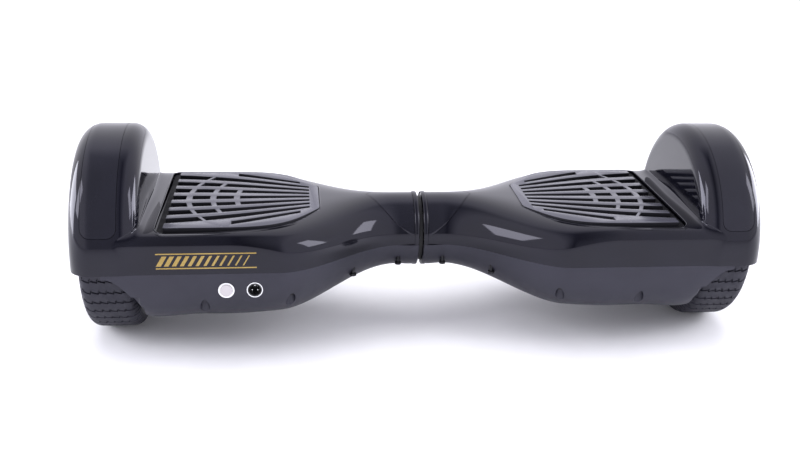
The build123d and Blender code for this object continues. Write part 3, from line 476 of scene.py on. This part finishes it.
def slot_line(index, x):
    """Middle of slot number index, counted from the pad's centre line."""
    t = (x - SLOT_INNER_X) / (SLOT_OUTER_X - SLOT_INNER_X)
    bow = 1 + SLOT_BOW * sin(pi * min(max(t, 0), 1))
    pitch = SLOT_PITCH_INNER + (SLOT_PITCH_OUTER - SLOT_PITCH_INNER) * t
    return index * pitch * bow


def slot_width(x):
    t = (x - SLOT_INNER_X) / (SLOT_OUTER_X - SLOT_INNER_X)
    return SLOT_WIDTH_INNER + (SLOT_WIDTH_OUTER - SLOT_WIDTH_INNER) * t


def cross_x(rib, y):
    """Middle of a cross rib at y: it sweeps back towards the pivot away from the centre line."""
    centre, sweep = rib
    return centre - sweep * (y / CROSS_SWEEP_Y) ** 2


def slot_spans(index):
    """X ranges of one slot, broken by the cross ribs that reach it."""
    if abs(index) == LAST_SLOT:
        return [(SLOT_INNER_X + 8, LAST_SLOT_END_X)]
    breaks = []
    for rib, reach in zip(CROSS_RIBS, CROSS_REACH):
        if abs(index) <= reach:
            x = cross_x(rib, slot_line(index, rib[0]))
            half = (CROSS_WIDTH - CROSS_THINNING * abs(index)) / 2
            breaks.append((x - half, x + half))
    low, spans = SLOT_INNER_X, []
    for a, b in sorted(breaks):
        spans.append((low, a))
        low = b
    spans.append((low, SLOT_OUTER_X + 3))
    return spans


def slot_prism(index, span, floor):
    """Tapered slot cutter; its ends lean like the cross ribs."""
    xs = np.linspace(span[0], span[1], max(3, int((span[1] - span[0]) / 6)))
    upper, lower = [], []
    for x in xs:
        y, half = slot_line(index, x), slot_width(x) / 2
        free_end = x > SLOT_OUTER_X or x < SLOT_INNER_X + 10 or abs(index) == LAST_SLOT
        tilt = 0.0 if free_end else -SLOT_END_LEAN * y
        upper.append((x + tilt * half, y + half))
        lower.append((x - tilt * half, y - half))
    return prism("slot", upper + lower[::-1], floor, ABOVE_ALL_Z)


def ribbed_outline():
    """Outline of the ribbed top: it leaves a gutter to the recess that widens towards the wheel."""
    outline = pad_outline(-PAD_SIDE_GAP)
    x = np.minimum(outline[:, 0], SLOT_OUTER_X)
    y = outline[:, 1]
    drawn_in = GUTTER * ease(x, *GUTTER_X)
    return np.c_[x, y - np.sign(y) * np.minimum(drawn_in, np.abs(y))]


def deck_height(x, y):
    """Height of the deck's skin at (x, y)."""
    stations = np.arange(80.0, 237.0, 4.0)
    heights = []
    for station in stations:
        loop = section_loop(station, 400)
        heights.append(np.interp(y, loop[::-1, 0], loop[::-1, 1]))
    return float(np.interp(x, stations, heights))


BEAD_RADIUS, BEAD_OUTSET, BEAD_SINK = 0.62, 0.35, 0.25


def build_recess_bead(gloss):
    """Thin rounded bead round the mouth of the pad recess, half sunk in the deck."""
    mouth = pad_outline(BEAD_OUTSET, 60)
    outline = along(np.vstack([mouth, mouth[:1]]), 241)[:-1]
    heights = np.array([deck_height(x, y) for x, y in outline])
    centre = np.c_[outline, heights - BEAD_SINK]
    ahead = np.roll(centre, -1, 0) - np.roll(centre, 1, 0)
    ahead /= np.linalg.norm(ahead, axis=1)[:, None]
    side = np.c_[-ahead[:, 1], ahead[:, 0], np.zeros(len(ahead))]
    turns = np.linspace(0, 2 * pi, 10, endpoint=False)
    up = np.array([0, 0, 1.0])
    grid = np.stack([centre + BEAD_RADIUS * (side * cos(t) + up * sin(t)) for t in turns], 1)
    bead = grid_mesh("bead", grid, closed_rows=True, closed_columns=True, smooth=80)
    place_pair(bead, "recess_bead", "half", gloss, "shell_gloss")


def build_foot_pads(rubber):
    """Ribbed foot pads, cut from a slab as high as the CAD's pad."""
    low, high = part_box("right_foot_pad")
    bottom, top = low.z / MM, high.z / MM
    pad = prism("right_pad", ribbed_outline(), bottom, top)
    cutters = [slot_prism(i, span, bottom - 1)
               for i in range(-LAST_SLOT, LAST_SLOT + 1) for span in slot_spans(i)]
    join(cutters[0], cutters[1:])
    combine(pad, cutters[0], "DIFFERENCE")
    modify(pad, "BEVEL", width=PAD_EDGE_ROUND * MM, segments=2, limit_method="ANGLE",
           angle_limit=radians(45))
    shade(pad, 30)
    place_pair(pad, "pad_top", "pad", rubber, "pad_rubber", "foot_pad")


# ================================================================ tyres
TREAD_ROWS = 46
TREAD_DEPTH, TICK_DEPTH = 1.5, 1.3
TREAD_SEGMENTS = 6
TREAD_HALF = 18.5           # half width of the grooved band
TREAD_SHARES = (0.0, 0.04, 0.11, 0.15, 0.30, 0.34, 0.48, 0.52, 0.58, 0.62, 0.8)      # of a pitch
TREAD_SLANT = 0.16          # how far a groove leans over one run, as a share of the pitch
SHOULDER_RIB_DEPTH = 0.9
TYRE_SHOULDER, TYRE_DOME = 9.0, 0.6


def tyre_radius(x):
    """Outer radius across the tyre: a slightly domed crown and round shoulders."""
    side = np.abs(x)
    half = TYRE_WIDTH / 2
    inward = np.clip(side - (half - TYRE_SHOULDER), 0, TYRE_SHOULDER)
    drop = TYRE_SHOULDER - np.sqrt(np.maximum(TYRE_SHOULDER ** 2 - inward ** 2, 0))
    return WHEEL_RADIUS - TYRE_DOME * (side / half) ** 2 - drop


def groove_depth(x, fraction, joints):
    """Depth of the tread at x, this fraction of a pitch round from where a groove begins."""
    if np.abs(joints - x).min() < 0.5 and 0.03 < fraction < 0.33:
        return TICK_DEPTH
    groove = 0.03 < fraction < 0.12
    if abs(x) <= TREAD_HALF + 0.5:
        return TREAD_DEPTH if groove else 0.0
    rib = abs(x) < TYRE_WIDTH / 2 - 0.5 and (groove or 0.51 < fraction < 0.6)
    return SHOULDER_RIB_DEPTH if rib else 0.0


def build_tyres(rubber):
    """Tyre with stepped cross grooves: slanted runs that end in ticks, and shoulder ribs."""
    half = TYRE_WIDTH / 2
    joints = np.linspace(-TREAD_HALF, TREAD_HALF, TREAD_SEGMENTS + 1)
    columns = [-half + 0.01, -half + 0.9, -half + 2.0]
    for i, joint in enumerate(joints):
        columns += [joint - 0.9, joint - 0.45, joint + 0.45, joint + 0.9]
        if i < TREAD_SEGMENTS:
            columns.append((joint + joints[i + 1]) / 2)
    columns += [half - 2.0, half - 0.9, half - 0.01]
    columns = np.array(sorted(columns))
    pitch = 2 * pi / TREAD_ROWS
    grid = []
    for row in range(TREAD_ROWS):
        for fraction in TREAD_SHARES:
            line = []
            for x in columns:
                radius = float(tyre_radius(np.array(x)))
                place_in_band = (x + TREAD_HALF) / (2 * TREAD_HALF) * TREAD_SEGMENTS
                segment = int(np.clip(place_in_band, 0, TREAD_SEGMENTS - 1))
                run = (x - joints[segment]) / (joints[segment + 1] - joints[segment])
                if abs(x) <= TREAD_HALF + 0.5:
                    slant = TREAD_SLANT * np.clip(run, 0, 1)
                else:
                    slant = TREAD_SLANT if x > 0 else 0.0
                turn = (row + fraction + slant) * pitch
                line.append((x, radius - groove_depth(x, fraction, joints), turn))
            grid.append(line)
    grid = np.array(grid)
    points = np.stack([TYRE_X + grid[..., 0], grid[..., 1] * np.sin(grid[..., 2]),
                       AXLE_Z + grid[..., 1] * np.cos(grid[..., 2])], -1)
    # side walls down to the rim, with a raised bead ring
    walls = [(half, 75.0), (half - 0.9, 73.6), (half - 0.9, 70.5), (half, 69.2),
             (half, RIM_RADIUS)]
    turns = grid[:, 0, 2]

    def ring(x, radius):
        return np.stack([np.full(len(turns), TYRE_X + x), radius * np.sin(turns),
                         AXLE_Z + radius * np.cos(turns)], -1)
    right = [ring(x, r) for x, r in walls]
    left = [ring(-x, r) for x, r in walls[::-1]]
    full = np.concatenate([np.stack(left, 1), points, np.stack(right, 1)], 1)
    tyre = grid_mesh("right_tyre_mesh", full, closed_rows=True, closed_columns=True, smooth=38)
    place_pair(tyre, "tyre_tread", "wheel", rubber, "tyre_rubber", "tyre")


# ================================================================ front details
ORNAMENT_X, ORNAMENT_Z = (-222.0, -142.0), (83.0, 96.5)
ORNAMENT_BARS, BAR_LEAN, RULE_HEIGHT = 12, 5.0, 1.0
BAR_MARGIN = 0.18           # between a bar's end and the ornament's edge, as a share of its height
BAR_SHARE, BAR_THINNING = 0.62, 0.04        # first bar's width as a share of the pitch
ORNAMENT_BACK_Y = -91.0
SOCKET_X, SOCKET_Z, SOCKET_FACE_Y = -144.0, 63.5, -91.6
SOCKET_BORE, SOCKET_DEPTH = 5.2, 10.3


def build_ornament(gold):
    """Plain row of leaning bars between two rules on the left front face."""
    (left, right), (bottom, top) = ORNAMENT_X, ORNAMENT_Z
    height = top - bottom
    low, high = bottom + height * BAR_MARGIN, top - height * BAR_MARGIN
    pitch = (right - left - BAR_LEAN) / ORNAMENT_BARS
    outlines = []
    for i in range(ORNAMENT_BARS):
        x = left + i * pitch
        width = pitch * (BAR_SHARE - BAR_THINNING * i)
        outlines.append([(x, low), (x + width, low), (x + BAR_LEAN + width, high),
                         (x + BAR_LEAN, high)])
    for z in (bottom, top - RULE_HEIGHT):
        outlines.append([(left, z), (right, z), (right, z + RULE_HEIGHT), (left, z + RULE_HEIGHT)])
    pieces = [prism("bar", outline, SOCKET_FACE_Y - 0.05, ORNAMENT_BACK_Y, "y")
              for outline in outlines]
    join(pieces[0], pieces[1:])
    pieces[0].name = "left_ornament"
    place(pieces[0], "left_half", gold, None)


def facing_front(obj, x, z):
    """Turn a piece made about the X axis so that it runs back from the front at (x, z)."""
    turn = Matrix(((0, 1, 0, x * MM), (1, 0, 0, SOCKET_FACE_Y * MM), (0, 0, 1, z * MM),
                   (0, 0, 0, 1)))
    obj.data.transform(turn)
    fix_normals(obj)
    shade(obj, 35)


def build_socket_pins(metal):
    """Three round-tipped contact pins."""
    radius, circle, tip = 0.8, 2.7, 3.2
    pins = []
    for i in range(3):
        profile = [(tip, 0.02), (tip, 0.35), (tip + 0.15, 0.62), (tip + 0.45, radius),
                   (SOCKET_DEPTH, radius), (SOCKET_DEPTH, 0.02)]
        pin = turned("pin", profile, 24)
        facing_front(pin, SOCKET_X + circle * sin(2 * pi * i / 3),
                     SOCKET_Z + circle * cos(2 * pi * i / 3))
        pins.append(pin)
    join(pins[0], pins[1:])
    shade(pins[0], 35)
    pins[0].name = "left_socket_pins"
    place(pins[0], "left_half", metal, "pin_metal", "left_charge_pins")


def build_socket_liner(dark):
    """Dark insulating liner of the charging socket, with a narrow front flange."""
    face, floor = -0.06, SOCKET_DEPTH - 0.4
    flange, inside, outside = SOCKET_BORE + 0.6, SOCKET_BORE - 0.3, SOCKET_BORE - 0.05
    profile = [(face, flange), (face, inside), (floor, inside), (floor, 0.05),
               (SOCKET_DEPTH, 0.05), (SOCKET_DEPTH, outside), (0.01, outside), (0.01, flange)]
    liner = turned("left_socket_liner", profile, 48)
    facing_front(liner, SOCKET_X, SOCKET_Z)
    place(liner, "left_half", dark, "bezel_dark")


# ================================================================ materials
NOISE_LOW, NOISE_HIGH = 0.3, 0.7        # the range that most of a noise's values lie in
WALL_FACING, TOP_FACING = 0.35, 0.85    # upward part of the normal on a wall and on a top
# near-black colour of the shade painted on the pad's upright slot faces
PAINTED_SLOT_SHADE = (0.002, 0.002, 0.003, 1)


def new_material(name, color, roughness, **sockets):
    """Plain shader with constants on its own sockets; an underscore stands for a space."""
    material = bpy.data.materials.new(name)
    material.use_nodes = True
    shader = material.node_tree.nodes["Principled BSDF"]
    shader.inputs["Base Color"].default_value = (*color, 1)
    shader.inputs["Roughness"].default_value = roughness
    for key, value in sockets.items():
        shader.inputs[key.replace("_", " ")].default_value = value
    return material, shader


def texture(material, kind, scale, **settings):
    """Noise-like texture in object coordinates, scale per metre."""
    nodes, links = material.node_tree.nodes, material.node_tree.links
    coordinates = nodes.new("ShaderNodeTexCoord")
    node = nodes.new(kind)
    node.inputs["Scale"].default_value = scale
    for key, value in settings.items():
        node.inputs[key].default_value = value
    links.new(coordinates.outputs["Object"], node.inputs["Vector"])
    return node


def vary(material, shader, socket, source, low, high):
    """Drive a number on the shader from a texture, between low and high."""
    nodes, links = material.node_tree.nodes, material.node_tree.links
    spread = nodes.new("ShaderNodeMapRange")
    spread.inputs["From Min"].default_value = NOISE_LOW
    spread.inputs["From Max"].default_value = NOISE_HIGH
    spread.inputs["To Min"].default_value = low
    spread.inputs["To Max"].default_value = high
    links.new(source.outputs[0], spread.inputs["Value"])
    links.new(spread.outputs["Result"], shader.inputs[socket])


def tint(material, shader, source, dark, light):
    """Drive the base colour from a texture, between two colours."""
    nodes, links = material.node_tree.nodes, material.node_tree.links
    ramp = nodes.new("ShaderNodeValToRGB")
    ramp.color_ramp.elements[0].position = NOISE_LOW
    ramp.color_ramp.elements[0].color = (*dark, 1)
    ramp.color_ramp.elements[1].position = NOISE_HIGH
    ramp.color_ramp.elements[1].color = (*light, 1)
    links.new(source.outputs[0], ramp.inputs["Fac"])
    links.new(ramp.outputs["Color"], shader.inputs["Base Color"])


def bump(material, shader, source, distance, strength=1.0):
    nodes, links = material.node_tree.nodes, material.node_tree.links
    node = nodes.new("ShaderNodeBump")
    node.inputs["Distance"].default_value = distance
    node.inputs["Strength"].default_value = strength
    links.new(source.outputs[0], node.inputs["Height"])
    links.new(node.outputs["Normal"], shader.inputs["Normal"])


def grained(name, dark, light, rough, grain, depth, patch=18.0, **sockets):
    """Moulded material: mottled colour, uneven gloss and a fine grain."""
    material, shader = new_material(name, light, rough[0], **sockets)
    mottle = texture(material, "ShaderNodeTexNoise", patch, Detail=4.0)
    tint(material, shader, mottle, dark, light)
    wear = texture(material, "ShaderNodeTexNoise", patch * 5, Detail=6.0, Roughness=0.7)
    vary(material, shader, "Roughness", wear, rough[0], rough[1])
    bump(material, shader, texture(material, "ShaderNodeTexNoise", grain, Detail=3.0), depth)
    return material


def paint_slot_shade_on_walls(material):
    """Paint shade on the upright faces of a ribbed piece: nearly black painted shade, as in the
    depth of its slots, and a high roughness.
    """
    nodes, links = material.node_tree.nodes, material.node_tree.links
    shader = nodes["Principled BSDF"]
    facing = nodes.new("ShaderNodeTexCoord")
    split = nodes.new("ShaderNodeSeparateXYZ")
    links.new(facing.outputs["Normal"], split.inputs[0])
    up = nodes.new("ShaderNodeMapRange")
    up.inputs["From Min"].default_value = WALL_FACING
    up.inputs["From Max"].default_value = TOP_FACING
    links.new(split.outputs["Z"], up.inputs["Value"])
    # upright faces take the painted shade colour and a high roughness
    for socket, kind, shade_and_dull in (("Base Color", "RGBA", PAINTED_SLOT_SHADE), ("Roughness", "FLOAT", 0.8)):
        source = shader.inputs[socket].links[0].from_socket
        blend = nodes.new("ShaderNodeMix")
        blend.data_type = kind
        ends = [one for one in blend.inputs if one.enabled and one.name in ("A", "B")]
        links.new(up.outputs["Result"], blend.inputs["Factor"])
        ends[0].default_value = shade_and_dull
        links.new(source, ends[1])
        links.new([one for one in blend.outputs if one.enabled][0], shader.inputs[socket])


LILAC = {"Specular_Tint": (0.88, 0.87, 1.0, 1.0)}
METAL = {"Metallic": 1.0}
# key: name, darker and lighter colour, roughness, grain per metre, its depth in metres, sockets
MATERIALS = {
    "gloss": ("gloss_black", (0.003, 0.003, 0.005), (0.005, 0.005, 0.009), (0.03, 0.08),
              260, 0.000003, {**LILAC, "IOR": 1.42}),
    "trim": ("trim_black", (0.006, 0.006, 0.009), (0.010, 0.010, 0.015), (0.07, 0.14),
             300, 0.000003, {**LILAC, "IOR": 1.42}),
    "satin": ("satin_grey", (0.014, 0.014, 0.021), (0.019, 0.019, 0.029), (0.36, 0.50),
              1600, 0.00002, LILAC),
    "tyre": ("tyre_rubber", (0.009, 0.009, 0.014), (0.016, 0.016, 0.023), (0.5, 0.75),
             1300, 0.00005, LILAC),
    "pad": ("pad_rubber", (0.044, 0.044, 0.058), (0.056, 0.056, 0.074), (0.20, 0.28),
            1500, 0.000006, LILAC),
    # black plate plastic, made darker still and less shiny as painted shade seen through the pad's
    # slots
    "plate": ("plain_plastic", (0.002, 0.002, 0.003), (0.004, 0.004, 0.006), (0.6, 0.75),
              1200, 0.00002, {"Specular_IOR_Level": 0.15}),
    "seal": ("seal_rubber", (0.006, 0.006, 0.007), (0.012, 0.012, 0.013), (0.5, 0.7),
             900, 0.00003, {}),
    "steel": ("plain_steel", (0.35, 0.35, 0.37), (0.5, 0.5, 0.52), (0.22, 0.4),
              1400, 0.00001, METAL),
    "black_steel": ("blackened_steel", (0.02, 0.02, 0.022), (0.05, 0.05, 0.055), (0.35, 0.5),
                    1400, 0.00001, METAL),
    "plated": ("plated_metal", (0.72, 0.72, 0.74), (0.86, 0.86, 0.88), (0.16, 0.30),
               900, 0.000005, METAL),
    "alloy": ("cast_alloy", (0.42, 0.42, 0.44), (0.55, 0.55, 0.57), (0.35, 0.5),
              700, 0.00004, METAL),
    "cover": ("painted_cover", (0.03, 0.03, 0.035), (0.05, 0.05, 0.056), (0.3, 0.45),
              900, 0.00002, {}),
    "copper": ("enamelled_copper", (0.5, 0.16, 0.05), (0.75, 0.3, 0.12), (0.25, 0.4),
               800, 0.00003, METAL),
    "bronze": ("sintered_bronze", (0.45, 0.3, 0.12), (0.6, 0.42, 0.2), (0.3, 0.5),
               2000, 0.00003, METAL),
    "board": ("solder_mask", (0.01, 0.09, 0.03), (0.015, 0.14, 0.05), (0.2, 0.35),
              500, 0.00002, {}),
    "wrap": ("battery_wrap", (0.02, 0.05, 0.2), (0.03, 0.07, 0.28), (0.25, 0.4),
             60, 0.0003, {}),
    "button": ("button_cap", (0.56, 0.53, 0.55), (0.66, 0.63, 0.65), (0.2, 0.3), 600, 0.000005,
               {"Subsurface_Weight": 0.2, "Subsurface_Radius": (0.002, 0.002, 0.002)}),
    "dark_ring": ("dark_ring", (0.02, 0.02, 0.022), (0.03, 0.03, 0.034), (0.12, 0.22),
                  900, 0.000005, {}),
    "gold": ("gold_ornament", (0.34, 0.24, 0.08), (0.46, 0.34, 0.13), (0.28, 0.45),
             1500, 0.00001, METAL),
}
FLOOR_LOOK = ("studio_paper", (0.84, 0.84, 0.85), (0.88, 0.88, 0.89), (0.8, 0.9), 40, 0.0001)


def make_materials():
    made = {}
    for key, (*look, sockets) in MATERIALS.items():
        made[key] = grained(*look, **sockets)
        # the pad's upright faces get painted slot shade
        if key == "pad":
            paint_slot_shade_on_walls(made[key])
    return made


NODE_LOOKS = {
    "lower_shell": "satin", "pad_plate": "plate", "shell_screws": "black_steel",
    "frame": "alloy", "axle_clamp": "alloy", "clamp_screws": "steel", "axle": "steel",
    "stator_core": "steel", "stator_windings": "copper", "rotor_ring": "steel",
    "rotor_magnets": "plated", "inner_motor_cover": "cover", "outer_motor_cover": "cover",
    "cover_screws": "steel", "wheel_bearings": "plated", "gyro_board": "board",
    "motor_lead": "seal", "pivot_tube": "steel", "pivot_bushes": "bronze",
    "pivot_retaining_ring": "steel", "pivot_stop_screw": "steel", "neck_seal": "seal",
    "centre_harness": "seal", "battery_pack": "wrap", "main_board": "board",
    "power_button": "button", "button_bezel": "plated", "charge_socket": "plated",
    "charge_pins": "plated", "upper_shell": "gloss", "fender_strip": "trim",
    "neck_panel": "trim", "foot_pad": "pad", "tyre": "tyre",
}


def finish_cad_nodes(materials):
    """Give every carried-over CAD node its procedural material."""
    for name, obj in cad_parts.items():
        plain = name.removeprefix("left_").removeprefix("right_")
        obj.data.materials.clear()
        obj.data.materials.append(materials[NODE_LOOKS[plain]])


# ================================================================ stage, light, camera
def build_stage():
    """Plain pale floor."""
    grid = np.array([[(x / MM, y / MM, 0.0) for x in (-8.0, 8.0)] for y in (-4.0, 12.0)])
    floor = grid_mesh("studio_floor", grid)
    floor.data.materials.append(grained(*FLOOR_LOOK))


def area_light(name, place, aim, size, power, color=(1, 1, 1)):
    light = bpy.data.lights.new(name, "AREA")
    light.shape = "RECTANGLE"
    light.size, light.size_y = size
    light.energy = power
    light.color = color
    obj = bpy.data.objects.new(name, light)
    bpy.context.scene.collection.objects.link(obj)
    obj.location = place
    obj.rotation_euler = (Vector(aim) - Vector(place)).to_track_quat("-Z", "Y").to_euler()
    return obj


WORLD_STRENGTH = 1.45
WORLD_STEPS = ((0.20, (0.42, 0.42, 0.48, 1)), (0.42, (0.88, 0.87, 0.96, 1)),
               (0.75, (0.95, 0.94, 1.0, 1)))


def build_world():
    """Studio surroundings: bright behind and at both sides, dim overhead and in front."""
    world = bpy.data.worlds.new("studio")
    bpy.context.scene.world = world
    world.use_nodes = True
    nodes, links = world.node_tree.nodes, world.node_tree.links
    direction = nodes.new("ShaderNodeTexCoord")
    split = nodes.new("ShaderNodeSeparateXYZ")
    links.new(direction.outputs["Generated"], split.inputs[0])
    side = nodes.new("ShaderNodeMath")
    side.operation = "ABSOLUTE"
    links.new(split.outputs["X"], side.inputs[0])
    brighter = nodes.new("ShaderNodeMath")
    brighter.operation = "MAXIMUM"
    links.new(side.outputs[0], brighter.inputs[0])
    links.new(split.outputs["Y"], brighter.inputs[1])
    ramp = nodes.new("ShaderNodeValToRGB")
    ramp.color_ramp.elements[0].position, ramp.color_ramp.elements[1].position = 0.02, 0.95
    ramp.color_ramp.elements[0].color = (0.10, 0.10, 0.12, 1)
    ramp.color_ramp.elements[1].color = (0.90, 0.89, 0.98, 1)
    for position, color in WORLD_STEPS:
        ramp.color_ramp.elements.new(position).color = color
    links.new(brighter.outputs[0], ramp.inputs["Fac"])
    background = nodes["Background"]
    links.new(ramp.outputs["Color"], background.inputs["Color"])
    background.inputs["Strength"].default_value = WORLD_STRENGTH


COOL, COOLER = (0.95, 0.95, 1.0), (0.93, 0.93, 1.0)


def build_lights():
    """World, overhead light, a broad panel at each side and a narrow one at each front corner."""
    build_world()
    top = area_light("top_softbox", (0.0, 0.4, 2.0), (0.0, 0.0, 0.1), (2.6, 1.6), 22)
    top.visible_glossy = False
    for name, side in (("left", -1), ("right", 1)):
        area_light(name + "_side_panel", (1.7 * side, 0.35, 0.40), (0.25 * side, 0.0, 0.08),
                   (1.0, 0.8), 22, COOLER)
    for name, side in (("left", -1), ("right", 1)):
        area_light(name + "_softbox", (1.5 * side, -0.5, 1.0), (0.1 * side, 0.0, 0.1),
                   (0.45, 0.9), 8, COOL)


CAMERA_PLACE = (-0.1087, -0.8825, 0.4072)
CAMERA_YAW, CAMERA_PITCH, CAMERA_ROLL = radians(7.61), radians(19.87), radians(1.95)
FOCAL_IN_WIDTHS = 1.2959    # focal length as a share of the picture's width
SHIFT = (-0.0346, -0.0049)


def build_camera():
    """Camera at the photograph's viewing angle, from its place, three turns and shift."""
    data = bpy.data.cameras.new("camera")
    data.sensor_width = 36.0
    data.lens = FOCAL_IN_WIDTHS * data.sensor_width
    data.shift_x, data.shift_y = SHIFT
    data.clip_start = 0.01
    camera = bpy.data.objects.new("camera", data)
    bpy.context.scene.collection.objects.link(camera)
    forward = Vector((sin(CAMERA_YAW) * cos(CAMERA_PITCH), cos(CAMERA_YAW) * cos(CAMERA_PITCH),
                      -sin(CAMERA_PITCH)))
    right = Vector((cos(CAMERA_YAW), -sin(CAMERA_YAW), 0))
    up = right.cross(forward)
    tilted_right = right * cos(CAMERA_ROLL) + up * sin(CAMERA_ROLL)
    tilted_up = up * cos(CAMERA_ROLL) - right * sin(CAMERA_ROLL)
    rotation = Matrix((tilted_right, tilted_up, -forward)).transposed()
    camera.matrix_world = Matrix.Translation(CAMERA_PLACE) @ rotation.to_4x4()
    bpy.context.scene.camera = camera


# ================================================================ everything
materials = make_materials()
build_camera()
build_stage()
build_lights()
finish_cad_nodes(materials)
build_upper_shells(materials["gloss"], materials["trim"])
build_foot_pads(materials["pad"])
build_recess_bead(materials["gloss"])
build_tyres(materials["tyre"])
build_ornament(materials["gold"])
build_socket_liner(materials["dark_ring"])
build_socket_pins(materials["plated"])
bpy.context.scene.view_settings.view_transform = "Standard"
